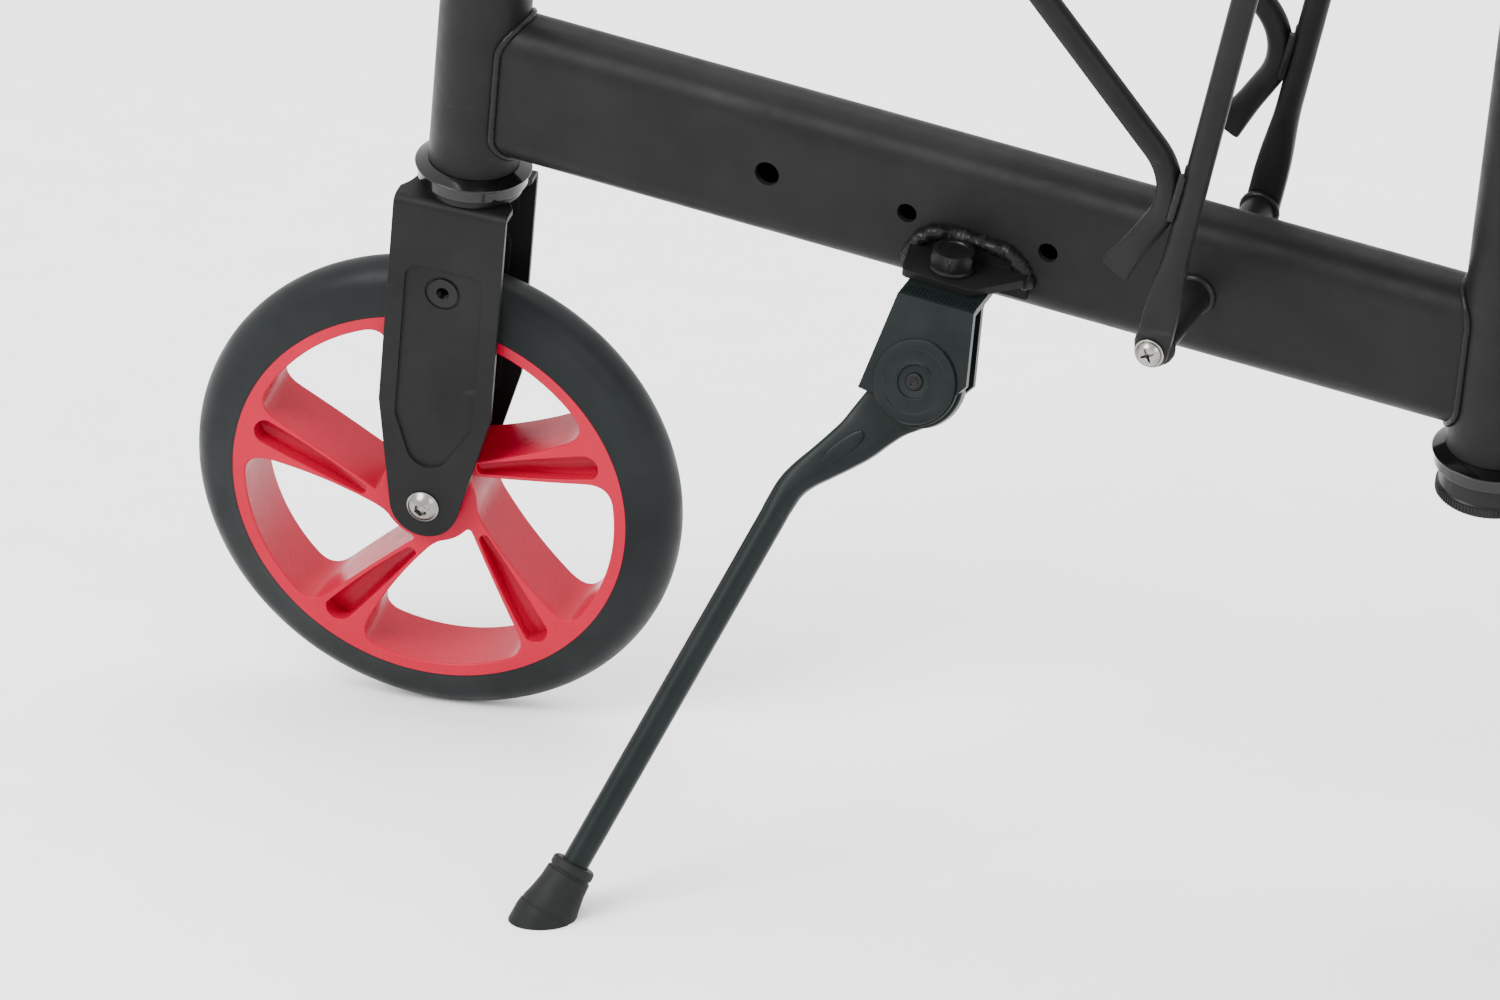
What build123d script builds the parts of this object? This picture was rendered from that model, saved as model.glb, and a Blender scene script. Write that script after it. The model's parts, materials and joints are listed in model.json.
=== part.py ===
"""Inline two-wheel knee scooter, parked on its kickstand with the front wheel turned a little to the left.

Everything is drawn in the frame's own axes, in millimetres: X runs rearwards along the main beam, Z runs up
along the head tube and Y points to the rider's right. The origin is where the head tube's axis meets the
beam's centre line. The last section stands the scooter on the ground and writes one STEP file for each piece.
"""
from build123d import *
from math import atan2, cos, hypot, radians, sin, sqrt, tan
import os

# ---- how the scooter stands ------------------------------------------------------------------------------
RAKE = 8.0                 # the tubes lean back and the beam drops rearwards by this angle
LEAN = 7.5                 # sideways lean onto the kickstand
STEER_AT_REST = 5.8        # the front wheel lies over to the left while parked

# ---- frame tubes -----------------------------------------------------------------------------------------
TUBE_OD = 36.0             # head tube and knee post tube
TUBE_WALL = 2.5
TUBE_SPACING = 422.0       # head tube axis to knee post tube axis
WHEELBASE = TUBE_SPACING + 138.0
TUBE_LOWER_END = -38.0     # both tubes stop this far below the beam's centre line
HEAD_TUBE_TOP = 58.0
POST_TUBE_TOP = 176.0
BEAM_HEIGHT = 60.0
BEAM_WIDTH = 28.0
BEAM_CORNER = 12.0
BEAM_WALL = 2.5
SIDE_HOLES = ((126.0, 5.0), (184.0, 4.0), (242.0, 4.0))   # distance behind the head tube axis, radius

# ---- wheels ----------------------------------------------------------------------------------------------
WHEEL_RADIUS = 100.0
TYRE_WIDTH = 30.0
TYRE_CROWN = 12.0          # radius of the rounded tread
TYRE_BEAD_RADIUS = 80.6    # where the tyre meets the rim
TYRE_KEY = 3.0             # depth of the rib that keys the tyre to the rim
RIM_LIP = 4.2              # ring outside the windows
HUB_RADIUS = 20.0
WINDOW_FILLET = 8.0        # at the rim
SPOKE_COUNT = 5
SPOKE_PHASE = 26.0         # angle of the first spoke, from the rear towards the top
GROOVE_DEPTH = 8.0         # channel pressed into each side of a spoke
BEARING_OD = 22.0
BEARING_WIDTH = 7.0
AXLE_RADIUS = 4.0
RUNNING = 0.05             # radial clearance where one piece turns in another
SIDE_GAP = 4.0             # between the tyre and the plates beside it

# ---- front fork ------------------------------------------------------------------------------------------
FORK_OFFSET = 3.8          # front axle ahead of the steering axis
AXLE_DROP = 187.5          # front axle below the beam's centre line
FORK_TOP = -49.5
FORK_SHEET = 2.6
FORK_PLATE_WIDTH = 46.0
FORK_TIP_RADIUS = 14.0
FORK_TAPER_START = 45.0    # height above the axle where the plate starts to narrow
PANEL_DEPTH = 1.2
SADDLE_RADIUS = 22.0       # arches cut in the top sheet's edges
SADDLE_DEPTH = 4.0
INSERT_HEIGHT = 98.0       # threaded insert above the front axle
INSERT_RADIUS = 2.5
STEERER_OD = 28.6
STEERER_WALL = 1.5

# ---- headset rings, the same on both tubes ---------------------------------------------------------------
CUP_SHOULDER = 23.0
CUP_BAND = 21.7
CUP_CONE = 2.4
CUP_HEIGHT = 8.4
RACE_RADIUS = 20.0
BEARING_WALL = 3.2
SEAT_GAP = 0.3             # between faces of pieces that turn past each other

# ---- steering column and handlebar -----------------------------------------------------------------------
COLUMN_OD = 34.0
COLUMN_TOP = 330.0
BAR_POST_OD = 25.0
BAR_POST_FOOT = 160.0
BAR_HEIGHT = 600.0
BAR_OD = 22.2
BAR_HALF_WIDTH = 285.0
BAR_STRAIGHT = 70.0
BAR_RISE = 40.0
BAR_SWEEP = 35.0
GRIP_LENGTH = 120.0
GRIP_OD = 33.0
SLIDE_FIT = 0.2            # radial clearance of a telescoping tube

# ---- knee rest -------------------------------------------------------------------------------------------
SLEEVE_LOWER_END = -59.1
LOCK_RING_TOP = -54.1
SLEEVE_TOP = 222.0
KNEE_POST_OD = 25.0
KNEE_POST_FOOT = 40.0
BOARD_HEIGHT = 240.0       # underside of the board above the beam's centre line
BOARD_LENGTH = 320.0
BOARD_WIDTH = 165.0
BOARD_THICK = 12.0
BOARD_SHIFT = -20.0        # the board's centre lies ahead of the knee post
PAD_LENGTH = 350.0
PAD_WIDTH = 190.0
PAD_THICK = 55.0
PAD_CORNER = 42.0

# ---- quick-release clamps --------------------------------------------------------------------------------
CLAMP_HEIGHT = 22.0
CLAMP_WALL = 4.5
CLAMP_LUG = 20.0           # width of the split lug
CLAMP_BOLT = 3.0
CAM_RADIUS = 7.0
CAM_HEIGHT = 14.0
CAM_PIN = 2.5
LEVER_TIP = (-55.0, -28.0)

# ---- kickstand -------------------------------------------------------------------------------------------
SHELF_TOP = -10.2
SHELF_THICK = 3.2
SHELF_REACH = 39.0         # from the scooter's middle plane to the shelf's outer edge
UPSTAND_THICK = 2.2
KICK_BOLT = (208.4, -25.9)
KICK_SPLAY = 28.0          # the leg's pivot axis points up by this angle from sideways
KICK_PIVOT = (210.9, -63.4, -40.7)   # centre of the cover disc's seat
KICK_COVER_RADIUS = 16.4
KICK_PLATE = 3.0
KICK_HUB_RADIUS = 18.0
KICK_HUB_THICK = 6.2
KICK_LEG_THICK = 8.6
KICK_ROD_RADIUS = 5.3
KICK_BEND = (-39.0, -51.0)           # in the plane of the leg, from the pivot
KICK_FOOT = (-87.6, -236.6, 6.3)     # the same, with the height off that plane
FOOT_CAP_RADIUS = 12.2
FOOT_CAP_LENGTH = 24.0
PIN_RADIUS = 3.5

# ---- carrier rack ----------------------------------------------------------------------------------------
RACK_AT = 302.0            # cross tube behind the head tube axis
RACK_HALF_WIDTH = 59.7     # to the middle of the rods
ROD_RADIUS = 5.0
UPRIGHT_LEAN = 7.3
ARM_ANGLE = 45.0
ARM_TAIL_ANGLE = 29.0
ARM_VERTEX = (307.7, 73.3)
ARM_TAIL_LENGTH = 48.3
ARM_BEND = 25.0
RACK_TOP = 186.0
FLAT_LENGTH = 42.0         # flattened lower end of an upright
FLAT_WIDTH = 13.6
FLAT_THICK = 5.0
CROSS_TUBE_RADIUS = 6.5
SCREW_RADIUS = 2.5
DECK_BARS = 3

# ---- rear end --------------------------------------------------------------------------------------------
STAY_THICK = 4.0
BRAKE_PIVOT_REACH = 119.0
BRAKE_PIVOT_ANGLE = 126.0
FENDER_GAP = 8.0
FENDER_THICK = 2.5
FENDER_START = 121.0       # angles round the rear axle, from the rear towards the top
FENDER_END = 52.0
SHOE_START = 96.0
SHOE_END = 74.0
BRAKE_PIN = 3.0
SOCKET_END = 468.0

NUDGE = 1.0                # how far a cutting tool runs past a face

# ---- derived values --------------------------------------------------------------------------------------
tube_r = TUBE_OD / 2
tube_bore = tube_r - TUBE_WALL
rim_half = TYRE_WIDTH / 2
plate_in = rim_half + SIDE_GAP
plate_out = plate_in + FORK_SHEET
stay_out = plate_in + STAY_THICK
steerer_r = STEERER_OD / 2
steerer_bore = steerer_r - STEERER_WALL
front_axle = Vector(-FORK_OFFSET, 0, -AXLE_DROP)
STAND = Rot(X=LEAN) * Rot(Y=RAKE)


def ground_clearance(steer):
    """Height of a wheel's centre above the ground, with the wheel turned by steer degrees."""
    tilt = (STAND * Pos(Vector(0, 1, 0).rotate(Axis.Z, steer))).position.Z
    return (WHEEL_RADIUS - TYRE_CROWN) * sqrt(1 - tilt ** 2) + TYRE_CROWN


def in_frame(point):
    """A point of the standing scooter, brought back to the frame's axes."""
    return (STAND.inverse() * Pos(point)).position


def on_stand(point):
    return (STAND * Pos(point)).position


front_centre = (Rot(Z=STEER_AT_REST) * Pos(front_axle)).position
ground_z = on_stand(front_centre).Z - ground_clearance(STEER_AT_REST)
front_straight = on_stand(front_axle)
rear_target = Vector(front_straight.X + WHEELBASE, 0, ground_z + ground_clearance(0))
rear_drop = in_frame(Vector(rear_target.X, front_straight.Y, rear_target.Z))
rear_axle = Vector(rear_drop.X, 0, rear_drop.Z)

parts = {}


# ---- helpers ---------------------------------------------------------------------------------------------
def rod(start, end, radius):
    """A round bar from one point to another."""
    start, end = Vector(*start), Vector(*end)
    run = end - start
    plane = Plane(origin=start, z_dir=run)
    return plane.location * Cylinder(radius, run.length, align=(Align.CENTER, Align.CENTER, Align.MIN))


def tube(x, low, high, outer, inner):
    """An upright tube in the frame's axes."""
    body = Pos(x, 0, low) * Cylinder(outer, high - low, align=(Align.CENTER, Align.CENTER, Align.MIN))
    bore = Pos(x, 0, low - NUDGE) * Cylinder(inner, high - low + 2 * NUDGE,
                                             align=(Align.CENTER, Align.CENTER, Align.MIN))
    return body - bore


def turned(points, x=0.0):
    """A ring turned about an upright axis; points are (radius, height)."""
    outline = make_face(Polyline([(x + r, 0, z) for r, z in points], close=True))
    return revolve(outline, Axis((x, 0, 0), (0, 0, 1)), 360)


def cross_bar(x, z, low, high, radius):
    """A round bar that runs across the scooter."""
    return rod((x, low, z), (x, high, z), radius)


def hexagon(across_flats, height):
    """A hexagonal block that stands on the XY plane."""
    corner = across_flats / sqrt(3)
    block = extrude(RegularPolygon(corner, 6), height)
    dome = Cylinder(corner, height, align=(Align.CENTER, Align.CENTER, Align.MIN))
    return block & chamfer(dome.edges().sort_by(Axis.Z)[-1], (corner - across_flats / 2) * 0.9)


def side_plate(outline, inner, thickness):
    """A flat plate beside the wheel, on the left (negative inner) or the right."""
    sketch = Plane.XZ * outline
    side = 1 if inner > 0 else -1
    return Pos(0, inner, 0) * extrude(sketch, -side * thickness)


def both_sides(shape):
    return shape + mirror(shape, Plane.XZ)


# ---- frame -----------------------------------------------------------------------------------------------
def beam_section(inset):
    return RectangleRounded(BEAM_HEIGHT - 2 * inset, BEAM_WIDTH - 2 * inset, BEAM_CORNER - inset)


def make_main_beam():
    along = Plane(origin=(0, 0, 0), x_dir=(0, 0, 1), z_dir=(1, 0, 0))
    beam = extrude(along * beam_section(0), TUBE_SPACING) - extrude(along * beam_section(BEAM_WALL), TUBE_SPACING)
    for x in (0, TUBE_SPACING):
        beam -= Pos(x, 0, 0) * Cylinder(tube_r, 2 * BEAM_HEIGHT)
    for x, radius in SIDE_HOLES:
        beam -= cross_bar(x, 0, -BEAM_WIDTH, BEAM_WIDTH, radius)
    return beam - cross_bar(RACK_AT, 0, -BEAM_WIDTH, BEAM_WIDTH, CROSS_TUBE_RADIUS)


def headset_cup(x, end, down):
    """A pressed-in bearing cup at a tube's end; down is -1 at a lower end and 1 at an upper end."""
    pocket = steerer_r + BEARING_WALL
    neck = steerer_r + SEAT_GAP
    profile = [(tube_bore, 0), (tube_bore, -6), (neck, -6), (neck, 1.6), (pocket, 1.6),
               (pocket, CUP_HEIGHT), (CUP_BAND - 0.8, CUP_HEIGHT), (CUP_BAND, CUP_HEIGHT - 0.8),
               (CUP_BAND, CUP_CONE + 0.9), (CUP_SHOULDER, CUP_CONE + 0.2), (CUP_SHOULDER, CUP_CONE - 0.4),
               (tube_r + 0.4, 0)]
    return turned([(r, end + down * h) for r, h in profile], x)


def headset_bearing(x, end, down):
    """A sealed ring bearing that sits in the cup and turns on the steerer."""
    low, high = end + down * 1.6, end + down * (CUP_HEIGHT - 0.6)
    outer, inner = steerer_r + BEARING_WALL, steerer_r + RUNNING
    groove = (outer + inner) / 2
    lip = down * 0.5
    return turned([(outer, low), (inner, low), (inner, high), (groove - 0.7, high), (groove, high - lip),
                   (groove + 0.7, high), (outer, high)], x)


def make_frame():
    parts["head_tube"] = tube(0, TUBE_LOWER_END, HEAD_TUBE_TOP, tube_r, tube_bore)
    parts["knee_post_tube"] = tube(TUBE_SPACING, TUBE_LOWER_END, POST_TUBE_TOP, tube_r, tube_bore)
    parts["main_beam"] = make_main_beam()
    rings = []
    for name, x, top in (("head", 0, HEAD_TUBE_TOP), ("post", TUBE_SPACING, POST_TUBE_TOP)):
        parts[f"{name}_lower_cup"] = headset_cup(x, TUBE_LOWER_END, -1)
        parts[f"{name}_upper_cup"] = headset_cup(x, top, 1)
        rings += [headset_bearing(x, TUBE_LOWER_END, -1), headset_bearing(x, top, 1)]
    parts["headset_bearings"] = Compound(children=rings)


# ---- wheels ----------------------------------------------------------------------------------------------
def crown_start():
    """Radius and half width where the flank runs smoothly into the rounded tread."""
    centre = WHEEL_RADIUS - TYRE_CROWN
    rise, across = centre - TYRE_BEAD_RADIUS, rim_half
    reach = hypot(rise, across)
    run = sqrt(reach ** 2 - TYRE_CROWN ** 2)
    slope = atan2(-across, rise) + atan2(TYRE_CROWN, run)
    return TYRE_BEAD_RADIUS + run * cos(slope), rim_half + run * sin(slope)


def make_tyre():
    start, half = crown_start()
    key = TYRE_BEAD_RADIUS - TYRE_KEY
    outline = Polyline((0, start, -half), (0, TYRE_BEAD_RADIUS, -rim_half), (0, TYRE_BEAD_RADIUS, -5),
                       (0, key, -5), (0, key, 5), (0, TYRE_BEAD_RADIUS, 5), (0, TYRE_BEAD_RADIUS, rim_half),
                       (0, start, half))
    crown = ThreePointArc((0, start, half), (0, WHEEL_RADIUS, 0), (0, start, -half))
    return Rot(X=90) * revolve(make_face(outline.edges() + crown.edges()), Axis.Z, 360)


def spoke_outline():
    """A swept spoke that points along +X, narrow in the middle and flared at both ends."""
    leading = ThreePointArc((12.5, 13.6), (42, 10.2), (79, 13.0))
    trailing = ThreePointArc((17.5, 6.6), (50, -3.3), (79, -11.0))
    return make_face([leading, trailing, Line(leading @ 0, trailing @ 0), Line(leading @ 1, trailing @ 1)])


def spoke_groove():
    """The channel in a spoke, with its rounded outer end just inside the rim."""
    leading = ThreePointArc((25, 11.7), (47, 7.4), (70.5, 3.2))
    trailing = ThreePointArc((25, 4.9), (47, -1.0), (70.5, -5.6))
    tip = ThreePointArc((70.5, 3.2), (74.4, -1.4), (70.5, -5.6))
    return make_face([leading, trailing, tip, Line((25, 11.7), (25, 4.9))])


def round_window(window):
    """Round a window's corners, more at the rim than at the hub."""
    corners = window.vertices().sort_by(lambda corner: Vector(corner).length)
    window = fillet(corners[2:], WINDOW_FILLET)
    corners = window.vertices().sort_by(lambda corner: Vector(corner).length)
    return fillet(corners[:2], 2)


def make_rim():
    window_out = TYRE_BEAD_RADIUS - RIM_LIP
    ring = Circle(window_out) - Circle(HUB_RADIUS)
    spokes = [Rot(Z=SPOKE_PHASE + 360 / SPOKE_COUNT * i) for i in range(SPOKE_COUNT)]
    for turn in spokes:
        ring -= turn * spoke_outline()
    windows = [round_window(face) for face in ring.faces()]
    rim = Cylinder(TYRE_BEAD_RADIUS, TYRE_WIDTH)
    rim -= Cylinder(TYRE_BEAD_RADIUS + NUDGE, 10) - Cylinder(TYRE_BEAD_RADIUS - TYRE_KEY, 10)
    for window in windows:
        rim -= Pos(0, 0, -TYRE_WIDTH) * extrude(window, 2 * TYRE_WIDTH)
    for turn in spokes:
        for face_side in (1, -1):
            groove = extrude(turn * spoke_groove(), GROOVE_DEPTH + NUDGE)
            groove = Pos(0, 0, rim_half - GROOVE_DEPTH) * groove
            rim -= groove if face_side > 0 else mirror(groove, Plane.XY)
    rim -= Cylinder(AXLE_RADIUS + 4, 2 * TYRE_WIDTH)
    for side in (1, -1):
        rim -= Pos(0, 0, side * (rim_half - BEARING_WIDTH / 2)) * Cylinder(BEARING_OD / 2, BEARING_WIDTH)
    return Rot(X=90) * rim


def make_wheel_bearings():
    """Two sealed bearings and the spacer between them, which turn with the wheel."""
    inner, outer = AXLE_RADIUS + RUNNING, BEARING_OD / 2
    ring = Cylinder(outer, BEARING_WIDTH) - Cylinder(inner, 2 * BEARING_WIDTH)
    shield = Cylinder(outer - 1.6, 0.5) - Cylinder(inner + 2.2, 1)
    ring -= Pos(0, 0, BEARING_WIDTH / 2 - 0.25) * shield
    one = Pos(0, 0, rim_half - BEARING_WIDTH / 2) * ring
    sleeve = Cylinder(inner + 2, TYRE_WIDTH - 2 * BEARING_WIDTH) - Cylinder(inner, TYRE_WIDTH)
    return Rot(X=90) * (one + mirror(one, Plane.XY) + sleeve)


def make_axle(outside):
    """A button-head bolt from the left; a nut, a washer and the two spacers beside the hub."""
    shank = cross_bar(0, 0, -outside, outside + 9, AXLE_RADIUS)
    head = Pos(0, -outside, 0) * Rot(X=90) * make_button_head(6.6, 4.2, 4.6)
    washer = cross_bar(0, 0, outside, outside + 1.4, 8)
    nut = Pos(0, outside + 1.4, 0) * Rot(X=-90) * hexagon(13.0, 6.5)
    spacer = cross_bar(0, 0, rim_half + SEAT_GAP, plate_in, 6.5)
    return shank + head, washer + nut + both_sides(spacer) - shank


def make_button_head(radius, height, socket):
    """A domed screw head that stands on the XY plane, with a hexagonal socket."""
    dome_radius = (radius ** 2 + height ** 2) / (2 * height)
    dome = Pos(0, 0, height - dome_radius) * Sphere(dome_radius)
    head = dome & Cylinder(radius, 2 * height, align=(Align.CENTER, Align.CENTER, Align.MIN))
    return head - Pos(0, 0, height * 0.35) * extrude(RegularPolygon(socket / sqrt(3), 6), height)


def make_wheel(name, centre, place):
    put = place * Pos(centre)
    parts[f"{name}_rim"] = put * make_rim()
    parts[f"{name}_tyre"] = put * make_tyre()
    parts[f"{name}_wheel_bearings"] = put * make_wheel_bearings()
    bolt, nut = make_axle(plate_out if name == "front" else stay_out)
    parts[f"{name}_axle_bolt"] = put * bolt
    parts[f"{name}_axle_nut"] = put * nut


# ---- fork and steering -----------------------------------------------------------------------------------
steered = Rot(Z=STEER_AT_REST)
plate_middle = front_axle.X + 1.5


def fork_outline():
    """The fork seen from the side: square at the top, rounded about the axle."""
    half = FORK_PLATE_WIDTH / 2
    shoulder = front_axle.Z + FORK_TAPER_START
    rounds = [Pos(plate_middle + side * (half - 4), shoulder) * Circle(4) for side in (-1, 1)]
    rounds.append(Pos(front_axle.X, front_axle.Z) * Circle(FORK_TIP_RADIUS))
    top = Pos(plate_middle, FORK_TOP - 12) * Rectangle(2 * half, 24)
    return make_hull(Sketch(children=rounds + [top]).edges())


def panel_outline(inset):
    """The pressed panel inside the plate's edge."""
    half = FORK_PLATE_WIDTH / 2 - 7 - inset
    corners = [(plate_middle + sx * (half - 6), front_axle.Z + FORK_TAPER_START - 4) for sx in (-1, 1)]
    corners += [(plate_middle + sx * (half - 6), front_axle.Z + 103) for sx in (-1, 1)]
    circles = [Pos(*c) * Circle(6) for c in corners]
    circles.append(Pos(front_axle.X, front_axle.Z + 27) * Circle(9 - inset))
    return make_hull(Sketch(children=circles).edges())


def make_fork_blade():
    """One bent sheet: a top and two side plates, with a panel pressed into each plate."""
    shell = Pos(0, plate_out, 0) * extrude(Plane.XZ * fork_outline(), 2 * plate_out)
    shell = fillet(shell.edges().filter_by(Axis.X).group_by(Axis.Z)[-1], FORK_SHEET + 1.2)
    top_low = FORK_TOP - FORK_SHEET
    shell -= Pos(plate_middle, 0, top_low) * Box(200, 2 * plate_in, 300,
                                                 align=(Align.CENTER, Align.CENTER, Align.MAX))
    insert_z = front_axle.Z + INSERT_HEIGHT
    panel = side_plate(panel_outline(0), plate_out - PANEL_DEPTH, PANEL_DEPTH + NUDGE)
    back = side_plate(panel_outline(1.2), plate_in - PANEL_DEPTH, PANEL_DEPTH)
    dimple = cross_bar(front_axle.X + 1, insert_z, plate_out - PANEL_DEPTH - 0.7, plate_out, 7.2)
    hole = cross_bar(front_axle.X + 1, insert_z, 0, plate_out, INSERT_RADIUS + 2)
    bore = cross_bar(front_axle.X, front_axle.Z, 0, 2 * plate_out, AXLE_RADIUS)
    return saddle_cut(shell) + both_sides(back) - both_sides(panel) - both_sides(dimple + hole) - both_sides(bore)


def saddle_cut(shell):
    """Cut the front and rear edges of the fork's top sheet to shallow arches."""
    reach = FORK_PLATE_WIDTH / 2 + SADDLE_RADIUS - SADDLE_DEPTH
    for side in (-1, 1):
        shell -= Pos(plate_middle + side * reach, 0, FORK_TOP) * Cylinder(SADDLE_RADIUS, 80)
    return shell


def make_fork_arch():
    """The block under the fork's top, with a round arch over the tyre."""
    high = FORK_TOP - FORK_SHEET
    radius = plate_in - 0.4
    low = high - 1.5 - radius
    block = Pos(plate_middle, 0, high) * Box(FORK_PLATE_WIDTH - 2 * SADDLE_DEPTH - 4, 2 * plate_in, high - low,
                                             align=(Align.CENTER, Align.CENTER, Align.MAX))
    arch = rod((plate_middle - FORK_PLATE_WIDTH, 0, low), (plate_middle + FORK_PLATE_WIDTH, 0, low), radius)
    return block - arch


def make_insert_nut():
    """A threaded insert pressed into the fork plate."""
    x, z = front_axle.X + 1, front_axle.Z + INSERT_HEIGHT
    seat = plate_out - PANEL_DEPTH - 0.7
    body = cross_bar(x, z, plate_in - 2.4, seat, INSERT_RADIUS + 2) + cross_bar(x, z, seat, seat + 0.9, 6.2)
    return body - cross_bar(x, z, 0, plate_out, INSERT_RADIUS)


def make_fork():
    parts["fork_blade"] = steered * make_fork_blade()
    parts["fork_arch"] = steered * make_fork_arch()
    parts["fork_insert_nuts"] = steered * both_sides(make_insert_nut())
    race_top = TUBE_LOWER_END - CUP_HEIGHT - SEAT_GAP
    parts["fork_crown_race"] = turned([(steerer_r, FORK_TOP), (RACE_RADIUS, FORK_TOP), (RACE_RADIUS, race_top),
                                       (steerer_r, race_top)])
    nut_low = HEAD_TUBE_TOP + CUP_HEIGHT + SEAT_GAP
    parts["steerer_tube"] = tube(0, FORK_TOP, nut_low + 60, steerer_r, steerer_bore)
    parts["headset_top_nut"] = turned([(steerer_r, nut_low), (RACE_RADIUS, nut_low), (RACE_RADIUS, nut_low + 4),
                                       (18.0, nut_low + 6), (18.0, nut_low + 12), (steerer_r, nut_low + 12)])
    column = tube(0, nut_low + 12, COLUMN_TOP, COLUMN_OD / 2, BAR_POST_OD / 2 + SLIDE_FIT)
    parts["column_tube"] = column - tube(0, FORK_TOP, nut_low + 60, steerer_r, 1)
    make_clamp("column", 0, COLUMN_TOP - 2, COLUMN_OD / 2, STEER_AT_REST)
    make_handlebar()


# ---- quick-release clamp, used on the column and on the knee post ----------------------------------------
def clamp_pin(tube_radius):
    """Where the cam's upright pin stands, from the tube's axis."""
    return tube_radius + CLAMP_WALL + 5.5, -(CLAMP_LUG / 2 + SEAT_GAP + CAM_RADIUS)


def make_clamp(name, x, top, tube_radius, turn):
    """A collar split at the back, its eye bolt and pin, and the cam lever that turns on the pin."""
    put = Pos(x, 0, top - CLAMP_HEIGHT) * Rot(Z=turn)
    outer = tube_radius + CLAMP_WALL
    bolt_x, pin_y = clamp_pin(tube_radius)
    middle = CLAMP_HEIGHT / 2
    standing = (Align.CENTER, Align.CENTER, Align.MIN)
    rearward = (Align.MIN, Align.CENTER, Align.MIN)
    collar = Cylinder(outer, CLAMP_HEIGHT, align=standing)
    collar += Pos(outer - 2, 0, 0) * Box(14, CLAMP_LUG, CLAMP_HEIGHT, align=rearward)
    collar -= Pos(0, 0, -NUDGE) * Cylinder(tube_radius, CLAMP_HEIGHT + 2 * NUDGE, align=standing)
    collar -= Pos(0, 0, -NUDGE) * Box(80, 3, CLAMP_HEIGHT + 2 * NUDGE, align=rearward)
    collar -= cross_bar(bolt_x, middle, -30, 30, CLAMP_BOLT)
    parts[f"{name}_clamp"] = put * collar
    bolt = cross_bar(bolt_x, middle, pin_y, CLAMP_LUG / 2 + 6, CLAMP_BOLT)
    bolt += Pos(bolt_x, CLAMP_LUG / 2, middle) * Rot(X=-90) * hexagon(10.0, 5.0)
    bolt += Pos(bolt_x, pin_y, middle) * Cylinder(5, 2 * CLAMP_BOLT - 1)
    bolt += Pos(bolt_x, pin_y, middle) * Cylinder(CAM_PIN, CAM_HEIGHT + 2)
    parts[f"{name}_clamp_bolt"] = put * bolt
    arm = make_hull(Sketch(children=[Circle(5.5), Pos(*LEVER_TIP) * Circle(4)]).edges())
    lever = Cylinder(CAM_RADIUS, CAM_HEIGHT) + extrude(arm, CAM_HEIGHT / 2 - 1, both=True)
    lever -= Cylinder(CAM_RADIUS + 1.5, 2 * (CLAMP_BOLT + SEAT_GAP + 0.1))
    lever -= Cylinder(CAM_PIN + RUNNING, 2 * CAM_HEIGHT)
    parts[f"{name}_lever"] = put * Pos(bolt_x, pin_y, middle) * lever


def bar_path():
    """Centre line of the right half of the handlebar."""
    outer_start = BAR_STRAIGHT + 75
    points = [(0, 0, 0), (0, BAR_STRAIGHT, 0), (BAR_SWEEP * 0.4, outer_start, BAR_RISE),
              (BAR_SWEEP, BAR_HALF_WIDTH, BAR_RISE)]
    return points


def make_handlebar():
    post_top = BAR_HEIGHT - BAR_OD / 2 - 4
    post_r = BAR_POST_OD / 2
    parts["handlebar_post"] = steered * tube(0, BAR_POST_FOOT, post_top, post_r, post_r - 2)
    head = Pos(0, 0, BAR_HEIGHT) * cross_bar(0, 0, -26, 26, BAR_OD / 2 + 6)
    head += Pos(0, 0, post_top - 32) * Cylinder(post_r + 3, 32, align=(Align.CENTER, Align.CENTER, Align.MIN))
    head -= Pos(0, 0, post_top) * Cylinder(post_r, 100, align=(Align.CENTER, Align.CENTER, Align.MAX))
    head -= Pos(0, 0, BAR_HEIGHT) * cross_bar(0, 0, -30, 30, BAR_OD / 2)
    parts["handlebar_clamp"] = steered * head
    points = bar_path()
    half = FilletPolyline(*points, radius=40)
    section = Plane(origin=(0, 0, 0), z_dir=(0, 1, 0)) * (Circle(BAR_OD / 2) - Circle(BAR_OD / 2 - 2))
    right = sweep(section, half)
    bar = Pos(0, 0, BAR_HEIGHT) * both_sides(right)
    parts["handlebar"] = steered * bar
    end, before = Vector(*points[-1]), Vector(*points[-2])
    way = (end - before).normalized()
    base = end - way * (GRIP_LENGTH - 4)
    for name, side in (("grip_right", 1), ("grip_left", -1)):
        grip = rod(base, base + way * GRIP_LENGTH, GRIP_OD / 2)
        grip += rod(base, base + way * 6, GRIP_OD / 2 + 4)
        grip -= rod(base - way, base + way * (GRIP_LENGTH - 4), BAR_OD / 2)
        grip = grip if side > 0 else mirror(grip, Plane.XZ)
        parts[name] = steered * Pos(0, 0, BAR_HEIGHT) * grip


# ---- knee rest -------------------------------------------------------------------------------------------
def rounded_slab(length, width, thick, corner):
    return extrude(RectangleRounded(length, width, corner), thick)


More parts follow.
